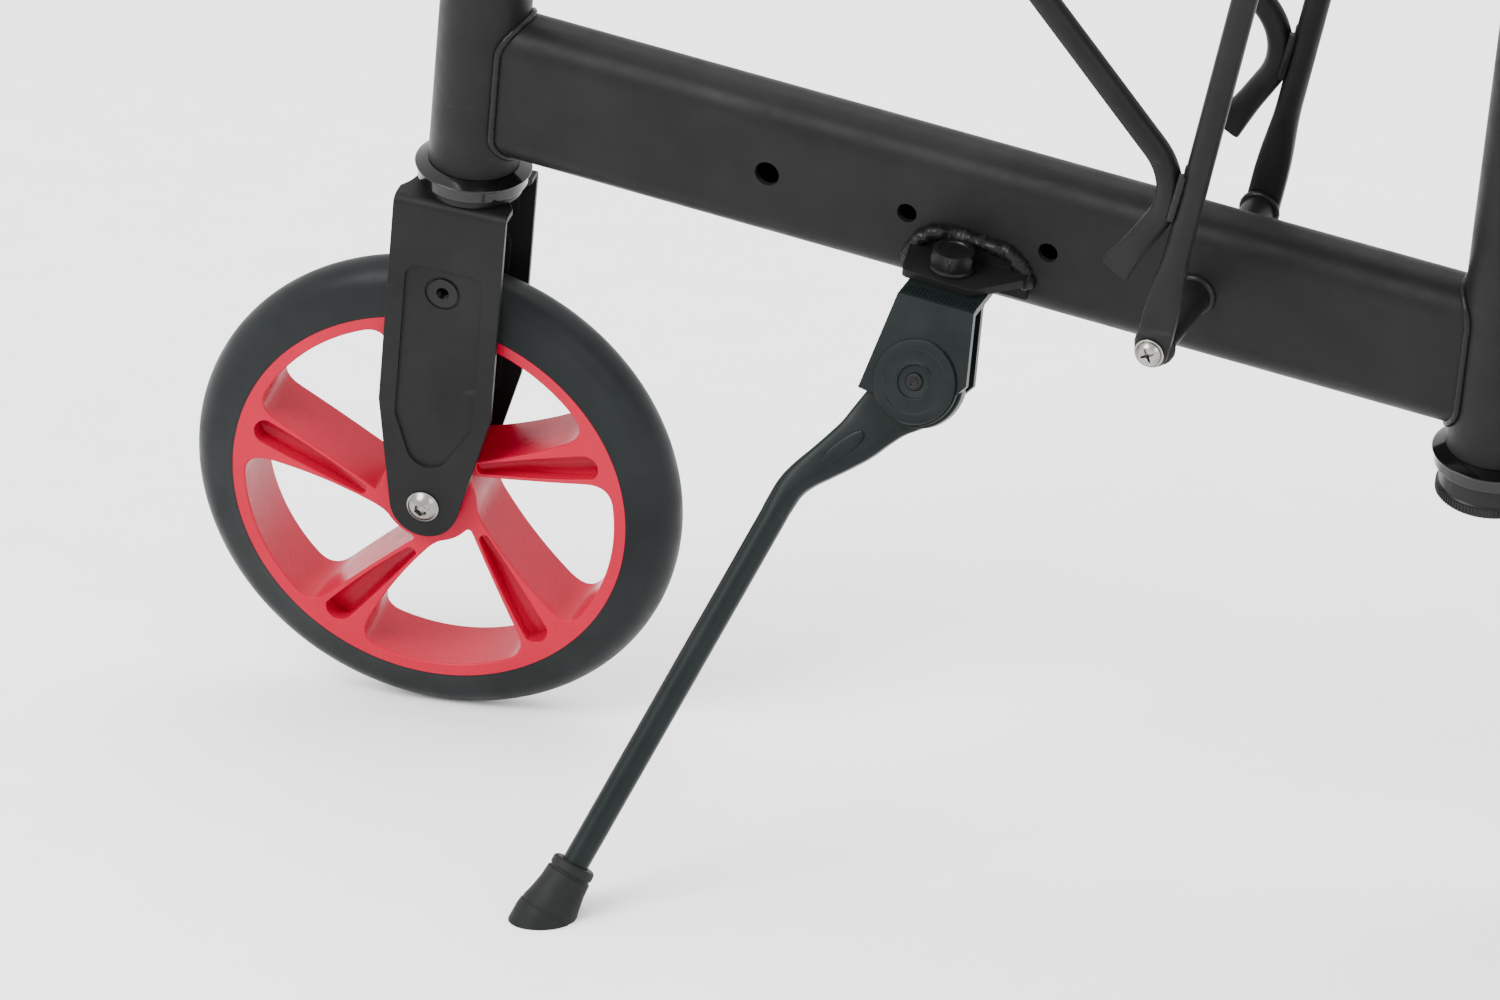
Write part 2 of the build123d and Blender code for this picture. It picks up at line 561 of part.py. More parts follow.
def make_knee_rest():
    x = TUBE_SPACING
    post_r = KNEE_POST_OD / 2
    ring_top = TUBE_LOWER_END - CUP_HEIGHT - SEAT_GAP
    nut_low = POST_TUBE_TOP + CUP_HEIGHT + SEAT_GAP
    parts["knee_sleeve"] = tube(x, SLEEVE_LOWER_END, SLEEVE_TOP, steerer_r, post_r + SLIDE_FIT)
    lower = turned([(steerer_r, ring_top), (RACE_RADIUS - 1, ring_top), (RACE_RADIUS - 1, LOCK_RING_TOP),
                    (RACE_RADIUS, LOCK_RING_TOP - 0.4), (RACE_RADIUS, SLEEVE_LOWER_END + 0.8),
                    (RACE_RADIUS - 0.8, SLEEVE_LOWER_END), (steerer_r, SLEEVE_LOWER_END)], x)
    upper = turned([(steerer_r, nut_low), (RACE_RADIUS, nut_low), (RACE_RADIUS, nut_low + 4),
                    (RACE_RADIUS - 1.5, nut_low + 6), (RACE_RADIUS - 1.5, nut_low + 12),
                    (steerer_r, nut_low + 12)], x)
    parts["knee_lock_rings"] = lower + upper
    make_clamp("knee", x, SLEEVE_TOP - 2, steerer_r, 0)
    bracket = Pos(x - 10, 0, BOARD_HEIGHT - 4) * rounded_slab(120, 90, 4, 10)
    bracket += tube(x, SLEEVE_TOP + 2, BOARD_HEIGHT - 4, post_r + 4, post_r)
    for side in (-1, 1):
        middle = x + side * (post_r + 10)
        bracket += Pos(middle, 0, BOARD_HEIGHT - 4) * Box(16, 4, 11, align=(Align.CENTER, Align.CENTER, Align.MAX))
    parts["knee_post"] = bracket + tube(x, KNEE_POST_FOOT, BOARD_HEIGHT - 4, post_r, post_r - 2)
    centre = x + BOARD_SHIFT
    parts["knee_board"] = Pos(centre, 0, BOARD_HEIGHT) * rounded_slab(BOARD_LENGTH, BOARD_WIDTH, BOARD_THICK, 36)
    pad = rounded_slab(PAD_LENGTH, PAD_WIDTH, PAD_THICK, PAD_CORNER)
    pad = fillet(pad.edges().group_by(Axis.Z)[-1], 16)
    pad = fillet(pad.edges().group_by(Axis.Z)[0], 7)
    parts["knee_pad"] = Pos(centre, 0, BOARD_HEIGHT + BOARD_THICK) * pad


# ---- kickstand -------------------------------------------------------------------------------------------
kick_axis = Vector(0, -cos(radians(KICK_SPLAY)), sin(radians(KICK_SPLAY)))
kick = Plane(origin=KICK_PIVOT, x_dir=(1, 0, 0), z_dir=kick_axis).location
hub_top = -KICK_PLATE - SEAT_GAP
hub_low = hub_top - KICK_HUB_THICK
leg_middle = (hub_top + hub_low) / 2
shelf_bottom = SHELF_TOP - SHELF_THICK
flange_bottom = shelf_bottom - KICK_PLATE


def layer(outline, low, high):
    """A flat piece lying in the kickstand's plane between two heights."""
    return kick * Pos(0, 0, low) * extrude(outline, high - low)


def hull(*circles):
    """The outline stretched round circles given as (x, y, radius)."""
    return make_hull(Sketch(children=[Pos(x, y) * Circle(r) for x, y, r in circles]).edges())


def make_bracket():
    """The shelf and the arched upstand welded to the beam's left side."""
    side = -BEAM_WIDTH / 2
    plan = make_face(Polyline((187, side), (192, -37), (221, 0.3 - SHELF_REACH), (236, -21.5), (236, side),
                              close=True))
    plan = fillet(plan.vertices().sort_by(Axis.Y)[:3], 3)
    plan = plan - Pos(*KICK_BOLT) * Circle(5)
    shelf = Pos(0, 0, shelf_bottom) * extrude(plan, SHELF_THICK)
    arch = make_face(Polyline((187, -22), (190, -10), (199, -3.5), (228, -4), (235, -12), (236, -22),
                              close=True))
    return shelf + Pos(0, side, 0) * extrude(Plane.XZ * arch, UPSTAND_THICK)


def make_housing():
    """A folded cap: a flange under the shelf and two cheeks that carry the leg's pin."""
    cheek = make_face(Polyline((-15.4, 40), (15.4, 40), (15.4, 33), (20, 3.4), (13, -6), (-17, -8.5),
                               (-21.4, -7.9), (-15.4, 31), close=True)) + Circle(KICK_COVER_RADIUS + 0.6)
    inner_top = hub_low - 0.4
    cheeks = layer(cheek, -KICK_PLATE, 0) + layer(cheek, inner_top - KICK_PLATE, inner_top)
    cheeks -= layer(Circle(PIN_RADIUS), -40, 10)
    cheeks -= Pos(KICK_PIVOT[0], 0, shelf_bottom) * Box(200, 300, 60, align=(Align.CENTER, Align.CENTER, Align.MIN))
    fold_y = KICK_PIVOT[1] + (shelf_bottom - KICK_PIVOT[2]) * tan(radians(KICK_SPLAY))
    flange = Pos(KICK_PIVOT[0], fold_y, flange_bottom) * Box(30.8, -fold_y + side_of_beam(), KICK_PLATE, align=(
        Align.CENTER, Align.MIN, Align.MIN))
    bolt_x, bolt_y = KICK_BOLT
    return cheeks + flange - Pos(bolt_x, bolt_y, 0) * Cylinder(5, 80)


def side_of_beam():
    """Where the flange stops short of the upstand on the beam."""
    return -BEAM_WIDTH / 2 - UPSTAND_THICK - SEAT_GAP


def foot_on_ground():
    """The leg's sole, slid along the rod until it meets the ground; in the kickstand's plane."""
    bend = Vector(KICK_BEND[0], KICK_BEND[1], leg_middle)
    way = (Vector(*KICK_FOOT) - bend).normalized()
    height = on_stand((kick * Pos(bend)).position).Z - ground_z
    fall = height - (on_stand((kick * Pos(bend + way)).position).Z - ground_z)
    return bend, way, bend + way * (height / fall)


def above_ground():
    """Everything above the ground the scooter stands on, drawn in the frame's axes."""
    box = Pos(0, 0, ground_z) * Box(3000, 3000, 600, align=(Align.CENTER, Align.CENTER, Align.MIN))
    return STAND.inverse() * box


def make_leg():
    """The flattened lug round the pin, the bend and the round rod."""
    bend, way, sole = foot_on_ground()
    lug = layer(Circle(KICK_HUB_RADIUS) + hull((-3, -6, 14), (-15.2, -24, 9.6)), hub_low, hub_top)
    low, high = leg_middle - KICK_LEG_THICK / 2, leg_middle + KICK_LEG_THICK / 2
    lug += layer(hull((-17.5, -27.5, 9.2), (-24.4, -34.8, 7.6)), low, high)
    lug += layer(hull((-24.4, -34.8, 7.6), (bend.X, bend.Y, KICK_ROD_RADIUS)), low, high)
    lug += layer(hull((-17, -25.5, 2.8), (-28, -40, 2.8)), high - 1, high + 0.6)
    shaft = kick * (Pos(bend) * Sphere(KICK_ROD_RADIUS) + rod(bend, sole - way * 8, KICK_ROD_RADIUS))
    return lug + shaft - layer(Circle(PIN_RADIUS + RUNNING), -40, 10)


def make_foot_cap():
    """A flared rubber cap, cut flat where it stands."""
    bend, way, sole = foot_on_ground()
    profile = [(0, FOOT_CAP_LENGTH), (KICK_ROD_RADIUS + 2.6, FOOT_CAP_LENGTH),
               (KICK_ROD_RADIUS + 3.4, FOOT_CAP_LENGTH - 1.2), (KICK_ROD_RADIUS + 3.6, 14),
               (FOOT_CAP_RADIUS - 0.6, 4), (FOOT_CAP_RADIUS, -14), (0, -14)]
    cap = Plane(origin=sole, z_dir=way * -1).location * turned(profile)
    cap -= rod(sole - way * 8, sole - way * 60, KICK_ROD_RADIUS)
    return (kick * cap) & above_ground()


def make_kickstand():
    parts["kickstand_bracket"] = make_bracket()
    bolt_x, bolt_y = KICK_BOLT
    bolt = Cylinder(9.4, 1.6, align=(Align.CENTER, Align.CENTER, Align.MIN)) + Rot(Z=12) * hexagon(16.0, 8.0)
    bolt = Pos(bolt_x, bolt_y, SHELF_TOP) * bolt
    bolt += rod((bolt_x, bolt_y, SHELF_TOP), (bolt_x, bolt_y, flange_bottom - 9), 5)
    bolt += Pos(bolt_x, bolt_y, flange_bottom) * Rot(X=180) * hexagon(16.0, 7.0)
    parts["kickstand_bolt"] = bolt
    parts["kickstand_housing"] = make_housing()
    disc = Cylinder(KICK_COVER_RADIUS, 1.8, align=(Align.CENTER, Align.CENTER, Align.MIN))
    disc = chamfer(disc.edges().sort_by(Axis.Z)[-1], 0.8)
    disc -= Pos(0, 0, 1.2) * Cylinder(7, 2, align=(Align.CENTER, Align.CENTER, Align.MIN))
    parts["kickstand_cover"] = kick * (disc - Cylinder(PIN_RADIUS, 10))
    back = hub_low - 0.4 - KICK_PLATE
    pin = Pos(0, 0, back) * Cylinder(PIN_RADIUS, 1.9 - back, align=(Align.CENTER, Align.CENTER, Align.MIN))
    pin += Pos(0, 0, back) * Cylinder(6.5, 2.4, align=(Align.CENTER, Align.CENTER, Align.MAX))
    parts["kickstand_pin"] = kick * pin
    parts["kickstand_leg"] = make_leg()
    parts["kickstand_foot"] = make_foot_cap()


# ---- carrier rack ----------------------------------------------------------------------------------------
def flattened_rod(start, end):
    """A rod whose first end is pressed flat and wide, seen from the side."""
    start, end = Vector(*start), Vector(*end)
    way = (end - start).normalized()
    plane = Plane(origin=start, x_dir=(way.Z, 0, -way.X), z_dir=way)
    flat = RectangleRounded(FLAT_WIDTH, FLAT_THICK, 2)
    body = extrude(plane * flat, FLAT_LENGTH - 22)
    root = Plane(origin=start + way * (FLAT_LENGTH - 22), x_dir=plane.x_dir, z_dir=way)
    neck = Plane(origin=start + way * FLAT_LENGTH, x_dir=plane.x_dir, z_dir=way)
    body += loft([root * flat, neck * Circle(ROD_RADIUS)])
    return body + rod(start + way * FLAT_LENGTH, end, ROD_RADIUS)


def make_rack_side(side):
    """An upright with its flattened foot, and the bent arm welded to its front."""
    y = side * RACK_HALF_WIDTH
    lean = Vector(sin(radians(UPRIGHT_LEAN)), 0, cos(radians(UPRIGHT_LEAN)))
    foot = Vector(RACK_AT, y, 0)
    top = foot + lean * (RACK_TOP / lean.Z)
    half = FLAT_THICK / 2
    upright = flattened_rod(foot, top) + cross_bar(RACK_AT, 0, y - half, y + half, FLAT_WIDTH / 2)
    upright -= cross_bar(RACK_AT, 0, y - 20, y + 20, SCREW_RADIUS)
    vertex = Vector(ARM_VERTEX[0], y, ARM_VERTEX[1])
    tail = Vector(-sin(radians(ARM_TAIL_ANGLE)), 0, -cos(radians(ARM_TAIL_ANGLE)))
    rise = RACK_TOP - vertex.Z
    tip = vertex + Vector(-rise * tan(radians(ARM_ANGLE)), 0, rise)
    path = FilletPolyline(vertex + tail * ARM_TAIL_LENGTH, vertex, tip, radius=ARM_BEND)
    arm = sweep(Plane(origin=vertex + tail * ARM_TAIL_LENGTH, z_dir=tail * -1) * Circle(ROD_RADIUS), path)
    return upright, arm


def make_rack():
    reach = RACK_HALF_WIDTH - FLAT_THICK / 2
    cross = cross_bar(RACK_AT, 0, -reach, reach, CROSS_TUBE_RADIUS)
    bore = cross_bar(RACK_AT, 0, -reach, 15 - reach, SCREW_RADIUS)
    parts["rack_cross_tube"] = cross - both_sides(bore)
    for name, side in (("left", -1), ("right", 1)):
        upright, arm = make_rack_side(side)
        parts[f"rack_upright_{name}"] = upright
        parts[f"rack_arm_{name}"] = arm - upright
    front = ARM_VERTEX[0] - (RACK_TOP - ARM_VERTEX[1]) * tan(radians(ARM_ANGLE))
    rear = RACK_AT + RACK_TOP * tan(radians(UPRIGHT_LEAN))
    length = rear - front
    y = RACK_HALF_WIDTH
    hoop = FilletPolyline((front, -y, 0), (rear, -y, 0), (rear, y, 0), (front, y, 0), radius=12, close=True)
    deck = sweep(Plane(origin=hoop @ 0, z_dir=hoop % 0) * Circle(ROD_RADIUS), hoop)
    for i in range(1, DECK_BARS + 1):
        deck += cross_bar(front + length * i / (DECK_BARS + 1), 0, -y, y, 3)
    deck = Pos(0, 0, RACK_TOP + ROD_RADIUS) * deck
    for name in ("left", "right"):
        deck -= parts[f"rack_upright_{name}"]
        deck -= parts[f"rack_arm_{name}"]
    parts["rack_deck"] = deck
    outer = RACK_HALF_WIDTH + FLAT_THICK / 2
    shank = cross_bar(RACK_AT, 0, -outer, 12 - reach, SCREW_RADIUS)
    washer = cross_bar(RACK_AT, 0, -outer - 1, -outer, 5.9)
    dome = Pos(RACK_AT, -outer - 1, 0) * Rot(X=90) * make_pan_head(5.15, 3.2)
    parts["rack_screws"] = both_sides(shank + washer + dome)


def make_pan_head(radius, height):
    """A domed screw head with a cross recess, standing on the XY plane."""
    dome_radius = (radius ** 2 + height ** 2) / (2 * height)
    head = Pos(0, 0, height - dome_radius) * Sphere(dome_radius)
    head &= Cylinder(radius, 2 * height, align=(Align.CENTER, Align.CENTER, Align.MIN))
    cross = Box(5.2, 1.1, 2.4) + Box(1.1, 5.2, 2.4)
    return head - Pos(0, 0, height) * cross


# ---- rear end --------------------------------------------------------------------------------------------
def at_rear_wheel(reach, angle):
    """A point beside the rear wheel as (x, z), from the rear axle."""
    return rear_axle.X + reach * cos(radians(angle)), rear_axle.Z + reach * sin(radians(angle))


def make_rear_end():
    x = TUBE_SPACING
    low, high = -28.0, 20.0
    tall = high - low
    corner = (Align.MIN, Align.CENTER, Align.MIN)
    inner = Pos(x, 0, low) * Box(SOCKET_END - x, 2 * 15, tall, align=corner)
    outer = Pos(x + 24, 0, low) * Box(SOCKET_END - x - 24, 2 * plate_in, tall, align=corner)
    socket = inner + outer - Pos(x, 0, 0) * Cylinder(tube_r, 200)
    parts["rear_socket"] = socket - Pos(SOCKET_END + 8, 0, low) * Rot(X=90) * Cylinder(18, 80)
    pivot_x, pivot_z = at_rear_wheel(BRAKE_PIVOT_REACH, BRAKE_PIVOT_ANGLE)
    outline = hull((rear_axle.X, rear_axle.Z, 14), (pivot_x, pivot_z, 11), (x + 33, low + 9, 9),
                   (x + 33, high - 9, 9))
    stay = side_plate(outline, plate_in, STAY_THICK)
    stay -= cross_bar(rear_axle.X, rear_axle.Z, 0, 60, AXLE_RADIUS)
    stay -= cross_bar(pivot_x, pivot_z, 0, 60, BRAKE_PIN)
    parts["rear_stays"] = both_sides(stay)
    pin = cross_bar(pivot_x, pivot_z, -stay_out, stay_out + 6, BRAKE_PIN)
    pin += Pos(pivot_x, -stay_out, pivot_z) * Rot(X=90) * make_button_head(5.6, 3.4, 3.6)
    pin += Pos(pivot_x, stay_out, pivot_z) * Rot(X=-90) * hexagon(10.0, 5.0)
    parts["brake_pin"] = pin
    make_brake(pivot_x, pivot_z)


def wheel_band(low, high, start, end, half_width):
    """A band round the rear wheel between two radii and two angles."""
    band = Cylinder(high, 2 * half_width) - Cylinder(low, 4 * half_width)
    keep = make_face(Polyline((0, 0), polar(300, start), polar(300, (start + end) / 2), polar(300, end),
                              close=True))
    band &= extrude(keep, half_width, both=True)
    return Pos(rear_axle) * Rot(X=90) * band


def polar(radius, angle):
    return radius * cos(radians(angle)), radius * sin(radians(angle))


def make_brake(pivot_x, pivot_z):
    """A curved foot plate over the rear wheel, with its hinge barrel and rubber shoe."""
    inner = WHEEL_RADIUS + FENDER_GAP
    outer = inner + FENDER_THICK
    half = plate_in - 2
    plate = wheel_band(inner, outer, FENDER_END, FENDER_START, half)
    root = at_rear_wheel(inner + FENDER_THICK / 2, FENDER_START - 3)
    tongue = side_plate(hull((pivot_x, pivot_z, 7), (*root, FENDER_THICK / 2)), -half + 4, -2 * (half - 4))
    barrel = cross_bar(pivot_x, pivot_z, -plate_in + 0.5, plate_in - 0.5, 7)
    fender = plate + tongue + barrel
    shoe = wheel_band(inner - 3.5, inner, SHOE_END, SHOE_START, half - 4)
    fender -= cross_bar(pivot_x, pivot_z, -60, 60, BRAKE_PIN + RUNNING)
    parts["brake_fender"] = fender - Pos(rear_axle) * Rot(X=90) * Cylinder(inner, 60)
    parts["brake_shoe"] = shoe


# ---- put the scooter together ----------------------------------------------------------------------------
make_frame()
make_fork()
make_wheel("front", front_axle, steered)
make_wheel("rear", rear_axle, Pos(0, 0, 0))
make_knee_rest()
make_kickstand()
make_rack()
make_rear_end()

standing = {name: STAND * shape for name, shape in parts.items()}
boxes = [shape.bounding_box() for shape in standing.values()]
middle_x = (min(b.min.X for b in boxes) + max(b.max.X for b in boxes)) / 2
middle_y = (min(b.min.Y for b in boxes) + max(b.max.Y for b in boxes)) / 2
PLACE = Pos(-middle_x, -middle_y, -ground_z) * STAND

os.makedirs("parts", exist_ok=True)
for name, shape in parts.items():
    export_step(PLACE * shape, f"parts/{name}.step")
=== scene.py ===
import json
import math
import bmesh
import bpy
from mathutils import Matrix, Vector
from mathutils.bvhtree import BVHTree
from mathutils.geometry import delaunay_2d_cdt

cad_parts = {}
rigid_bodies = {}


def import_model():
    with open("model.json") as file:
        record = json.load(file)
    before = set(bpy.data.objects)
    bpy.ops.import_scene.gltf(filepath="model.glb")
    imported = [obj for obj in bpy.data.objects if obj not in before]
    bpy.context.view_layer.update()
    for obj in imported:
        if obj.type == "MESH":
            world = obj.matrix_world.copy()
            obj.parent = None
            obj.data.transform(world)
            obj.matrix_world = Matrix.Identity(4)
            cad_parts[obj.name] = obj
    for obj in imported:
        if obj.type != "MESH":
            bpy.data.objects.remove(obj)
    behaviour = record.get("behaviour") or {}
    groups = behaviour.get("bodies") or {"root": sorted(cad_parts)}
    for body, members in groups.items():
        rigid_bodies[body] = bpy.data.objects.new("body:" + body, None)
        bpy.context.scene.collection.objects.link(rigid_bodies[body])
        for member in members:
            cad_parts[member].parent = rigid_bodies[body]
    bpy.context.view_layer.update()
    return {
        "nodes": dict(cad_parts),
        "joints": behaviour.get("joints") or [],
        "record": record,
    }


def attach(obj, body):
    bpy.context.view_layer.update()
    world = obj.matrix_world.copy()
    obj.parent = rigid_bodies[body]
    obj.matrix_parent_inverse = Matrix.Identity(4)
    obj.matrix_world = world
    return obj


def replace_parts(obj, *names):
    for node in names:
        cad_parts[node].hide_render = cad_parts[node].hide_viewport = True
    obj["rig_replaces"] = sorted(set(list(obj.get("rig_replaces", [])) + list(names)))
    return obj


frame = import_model()

# ---- where things are --------------------------------------------------------------------------------------
RAKE, LEAN, STEER = math.radians(8.0), math.radians(7.5), math.radians(5.8)
JOINTS = {joint["name"]: joint for joint in frame["joints"]}
ORIGIN = Vector(JOINTS["steering"]["pos_m"])
MM = Matrix.Scale(0.001, 4)
FRAME = Matrix.Translation(ORIGIN) @ Matrix.Rotation(LEAN, 4, "X") @ Matrix.Rotation(RAKE, 4, "Y")
STEERED = FRAME @ Matrix.Rotation(STEER, 4, "Z")
SPLAY = math.radians(28.0)
KICK_AXIS = Vector((0, -math.cos(SPLAY), math.sin(SPLAY)))
KICK_UP = Vector((0, math.sin(SPLAY), math.cos(SPLAY)))
PIVOT = Vector((210.9, -63.4, -40.7)) * 0.001
KICK = FRAME @ Matrix.Translation(PIVOT) @ Matrix((Vector((1, 0, 0)), KICK_UP, KICK_AXIS)).transposed().to_4x4()
TUBE_SPACING, TUBE_LOW, HEAD_TOP, POST_TOP = 422.0, -38.0, 58.0, 176.0
TUBE_RADIUS, TUBE_BORE = 18.0, 15.5
BEAM_WALL = 2.5
SIDE_HOLES = ((126, 5), (184, 4), (242, 4))     # distance behind the head tube, radius
RIM_RADIUS, RIM_HALF_WIDTH = 80.6, 15.0
RACK_AT, RACK_SIDE, RACK_TOP, HOOP_HEIGHT = 302.0, 59.7, 186.0, 191.0
BAR_HEIGHT, GRIP_REACH = 600.0, 116.0
FRONT_AXLE = Vector((-3.8, 0, -187.5))
REAR_AXLE = Vector((550.735, 0, -109.456))
BODY = {node: body for body, nodes in frame["record"]["behaviour"]["bodies"].items() for node in nodes}
SLOT = {part["node"]: part["material_slot"] for part in frame["record"]["subparts"]}
LEVELS = 1

# ---- finishes ----------------------------------------------------------------------------------------------
def fill(node, inputs):
    """Give each input a value, or link it when the value is another node's output."""
    for key, value in inputs.items():
        if isinstance(value, bpy.types.NodeSocket):
            node.id_data.links.new(value, node.inputs[key])
        else:
            node.inputs[key].default_value = value
    return node


def put(tree, kind, inputs=(), **settings):
    node = tree.nodes.new(kind)
    for name, value in settings.items():
        setattr(node, name, value)
    return fill(node, dict(inputs))


def noise_of(tree, coords, size, detail=3.0, rough=0.55):
    """Grain of a given size in metres."""
    return put(tree, "ShaderNodeTexNoise", {"Vector": coords, "Scale": 1.0 / size, "Detail": detail,
                                            "Roughness": rough}).outputs["Fac"]


def spread(tree, value, low, high, start=0.3, stop=0.7):
    return put(tree, "ShaderNodeMapRange", {"Value": value, "From Min": start, "From Max": stop, "To Min": low,
                                            "To Max": high}).outputs["Result"]


def shade_of(tree, first, second, share):
    mix = put(tree, "ShaderNodeMix", {"A": first, "B": second, "Factor": share}, data_type="RGBA")
    return mix.outputs["Result"]


def scaled(tree, coords, scale, turn=(0, 0, 0)):
    return put(tree, "ShaderNodeMapping", {"Vector": coords, "Scale": scale, "Rotation": turn}).outputs["Vector"]


def finish_of(name, colour, rough, grain=0.0006, depth=0.00004, strength=0.35, metal=0.0, sheen=0.0, tint=0.12,
              rough_spread=0.07, scuffs=0.0, cells=0.0, brushed=None, specular=0.5):
    """One finish: a colour that drifts a little, uneven gloss, and a fine surface grain."""
    material = bpy.data.materials.new(name)
    material.use_nodes = True
    tree = material.node_tree
    coords = put(tree, "ShaderNodeTexCoord").outputs["Object"]
    height = noise_of(tree, scaled(tree, coords, brushed) if brushed else coords, grain)
    dark = (*[c * (1 - tint) for c in colour], 1)
    light = (*[min(1, c * (1 + tint) + 0.002) for c in colour], 1)
    shade = shade_of(tree, dark, light, spread(tree, noise_of(tree, coords, 0.035, 4.0), 0, 1))
    if scuffs:
        streaks = scaled(tree, coords, (14, 260, 190), (0.3, 0.5, 0.2))
        lines = put(tree, "ShaderNodeTexNoise", {"Vector": streaks, "Scale": 1.0, "Detail": 2.0}).outputs["Fac"]
        worn = (*[min(1, c + 0.05) for c in colour], 1)
        shade = shade_of(tree, shade, worn, spread(tree, lines, 0, scuffs, 0.7, 0.76))
    if cells:
        cell = put(tree, "ShaderNodeTexVoronoi", {"Vector": coords, "Scale": 1.0 / cells}).outputs["Distance"]
        height = put(tree, "ShaderNodeMath", {0: height, 1: 0.35, 2: cell}, operation="MULTIPLY_ADD").outputs[0]
    gloss = spread(tree, noise_of(tree, coords, 0.012, 5.0, 0.65), max(0.02, rough - rough_spread),
                   min(1, rough + rough_spread))
    bump = put(tree, "ShaderNodeBump", {"Strength": strength, "Distance": depth, "Height": height})
    fill(tree.nodes["Principled BSDF"], {
        "Base Color": shade, "Roughness": gloss, "Normal": bump.outputs["Normal"], "Metallic": metal,
        "Sheen Weight": sheen, "Specular IOR Level": specular})
    return material


FINISH = {
    "frame_paint": finish_of(
        "satin_black_powder_coat", (0.0052, 0.0052, 0.0055), 0.46, 0.0007, 0.00005, 0.3, scuffs=0.08,
        specular=0.1),
    "gloss_paint": finish_of(
        "gloss_black_paint", (0.0015, 0.0015, 0.0017), 0.12, 0.002, 0.00003, 0.2, rough_spread=0.04,
        specular=0.3),
    "black_oxide": finish_of(
        "black_oxide_steel", (0.0035, 0.0035, 0.004), 0.34, 0.0004, strength=0.4, specular=0.15),
    "kickstand_paint": finish_of(
        "green_black_enamel", (0.0032, 0.0058, 0.0054), 0.33, 0.0012, 0.00006, 0.4, scuffs=0.08, specular=0.12),
    "bright_steel": finish_of(
        "bright_zinc_plate", (0.22, 0.215, 0.2), 0.26, 0.0003, strength=0.15, metal=1.0, tint=0.06),
    "brushed_steel": finish_of(
        "brushed_steel", (0.33, 0.33, 0.34), 0.3, 0.0012, strength=0.25, metal=1.0, brushed=(1, 1, 0.04)),
    "red_rim": finish_of(
        "red_moulded_nylon", (0.32, 0.0, 0.018), 0.3, 0.004, 0.00006, 0.2, tint=0.05, specular=0.12),
    "tyre_rubber": finish_of(
        "tyre_rubber", (0.0045, 0.0062, 0.0062), 0.46, 0.0009, 0.00006, 0.35, tint=0.2, specular=0.12),
    "soft_rubber": finish_of(
        "soft_black_rubber", (0.0055, 0.0062, 0.0062), 0.58, 0.0005, 0.00006, 0.5, tint=0.2, specular=0.12),
    "black_board": finish_of(
        "textured_black_board", (0.006, 0.006, 0.006), 0.6, 0.0012, 0.00012, 0.6, cells=0.0014, specular=0.15),
    "pad_cover": finish_of(
        "black_vinyl", (0.007, 0.007, 0.0075), 0.44, 0.0018, 0.00022, 0.7, sheen=0.03, cells=0.0016,
        specular=0.18),
}
WELD = finish_of("painted_weld", (0.0045, 0.0045, 0.0048), 0.34, 0.0011, 0.0002, 0.6, specular=0.13)
THREAD = finish_of("black_thread", (0.013, 0.013, 0.014), 0.7, grain=0.0003, depth=0.00006, strength=0.6)


# ---- mesh building -----------------------------------------------------------------------------------------
def loft(bm, rings, closed=False):
    """Join rings of equal length into a skin. Each ring is a list of points in millimetres."""
    made = [[bm.verts.new(p) for p in ring] for ring in rings]
    pairs = list(zip(made, made[1:]))
    if closed:
        pairs.append((made[-1], made[0]))
    for low, high in pairs:
        count = len(low)
        for i in range(count):
            bm.faces.new((low[i], low[(i + 1) % count], high[(i + 1) % count], high[i]))
    if not closed:
        bm.faces.new(list(reversed(made[0])))
        bm.faces.new(made[-1])
    return made


def round_corners(points, radius, steps=4):
    """Replace the corners of an outline by small arcs."""
    result = []
    count = len(points)
    for i, corner in enumerate(points):
        corner = Vector(corner)
        before, after = Vector(points[i - 1]), Vector(points[(i + 1) % count])
        a, b = before - corner, after - corner
        if a.length < 1e-6 or b.length < 1e-6 or a.angle(b, math.pi) > math.pi - 0.05:
            result.append(corner)
            continue
        half = a.angle(b) / 2
        cut = min(radius / math.tan(half), a.length * 0.45, b.length * 0.45)
        start, end = corner + a.normalized() * cut, corner + b.normalized() * cut
        for k in range(steps + 1):
            t = k / steps
            result.append(start * (1 - t) ** 2 + corner * 2 * t * (1 - t) + end * t * t)
    return result


def turned(bm, profile, segments=96, centre=(0, 0, 0), turn=None):
    """Spin a closed (radius, height) outline about the Z axis."""
    centre = Vector(centre)
    turn = turn or Matrix.Identity(3)
    rings = []
    for r, z in profile:
        ring = []
        for k in range(segments):
            angle = 2 * math.pi * k / segments
            ring.append(centre + turn @ Vector((max(r, 0.0) * math.cos(angle), max(r, 0.0) * math.sin(angle), z)))
        rings.append(ring)
    loft(bm, rings, closed=True)


def turned_2(bm, profile, radius=0.5, **keys):
    """The same, with rounded corners."""
    turned(bm, [(p.x, p.y) for p in round_corners([(r, z, 0) for r, z in profile], radius)], **keys)


def smooth_path(points, spacing):
    """A Catmull-Rom path through points with extra values, sampled evenly."""
    data = [list(p) for p in points]
    result = []
    for i in range(len(data) - 1):
        p0 = data[i - 1] if i else [2 * a - b for a, b in zip(data[0], data[1])]
        p1, p2 = data[i], data[i + 1]
        p3 = data[i + 2] if i + 2 < len(data) else [2 * a - b for a, b in zip(data[-1], data[-2])]
        steps = max(2, int(math.dist(p1[:3], p2[:3]) / spacing))
        for k in range(steps):
            t = k / steps
            result.append([0.5 * (2 * b + (c - a) * t + (2 * a - 5 * b + 4 * c - d) * t * t
                                  + (3 * b - a - 3 * c + d) * t ** 3) for a, b, c, d in zip(p0, p1, p2, p3)])
    result.append(data[-1])
    return result


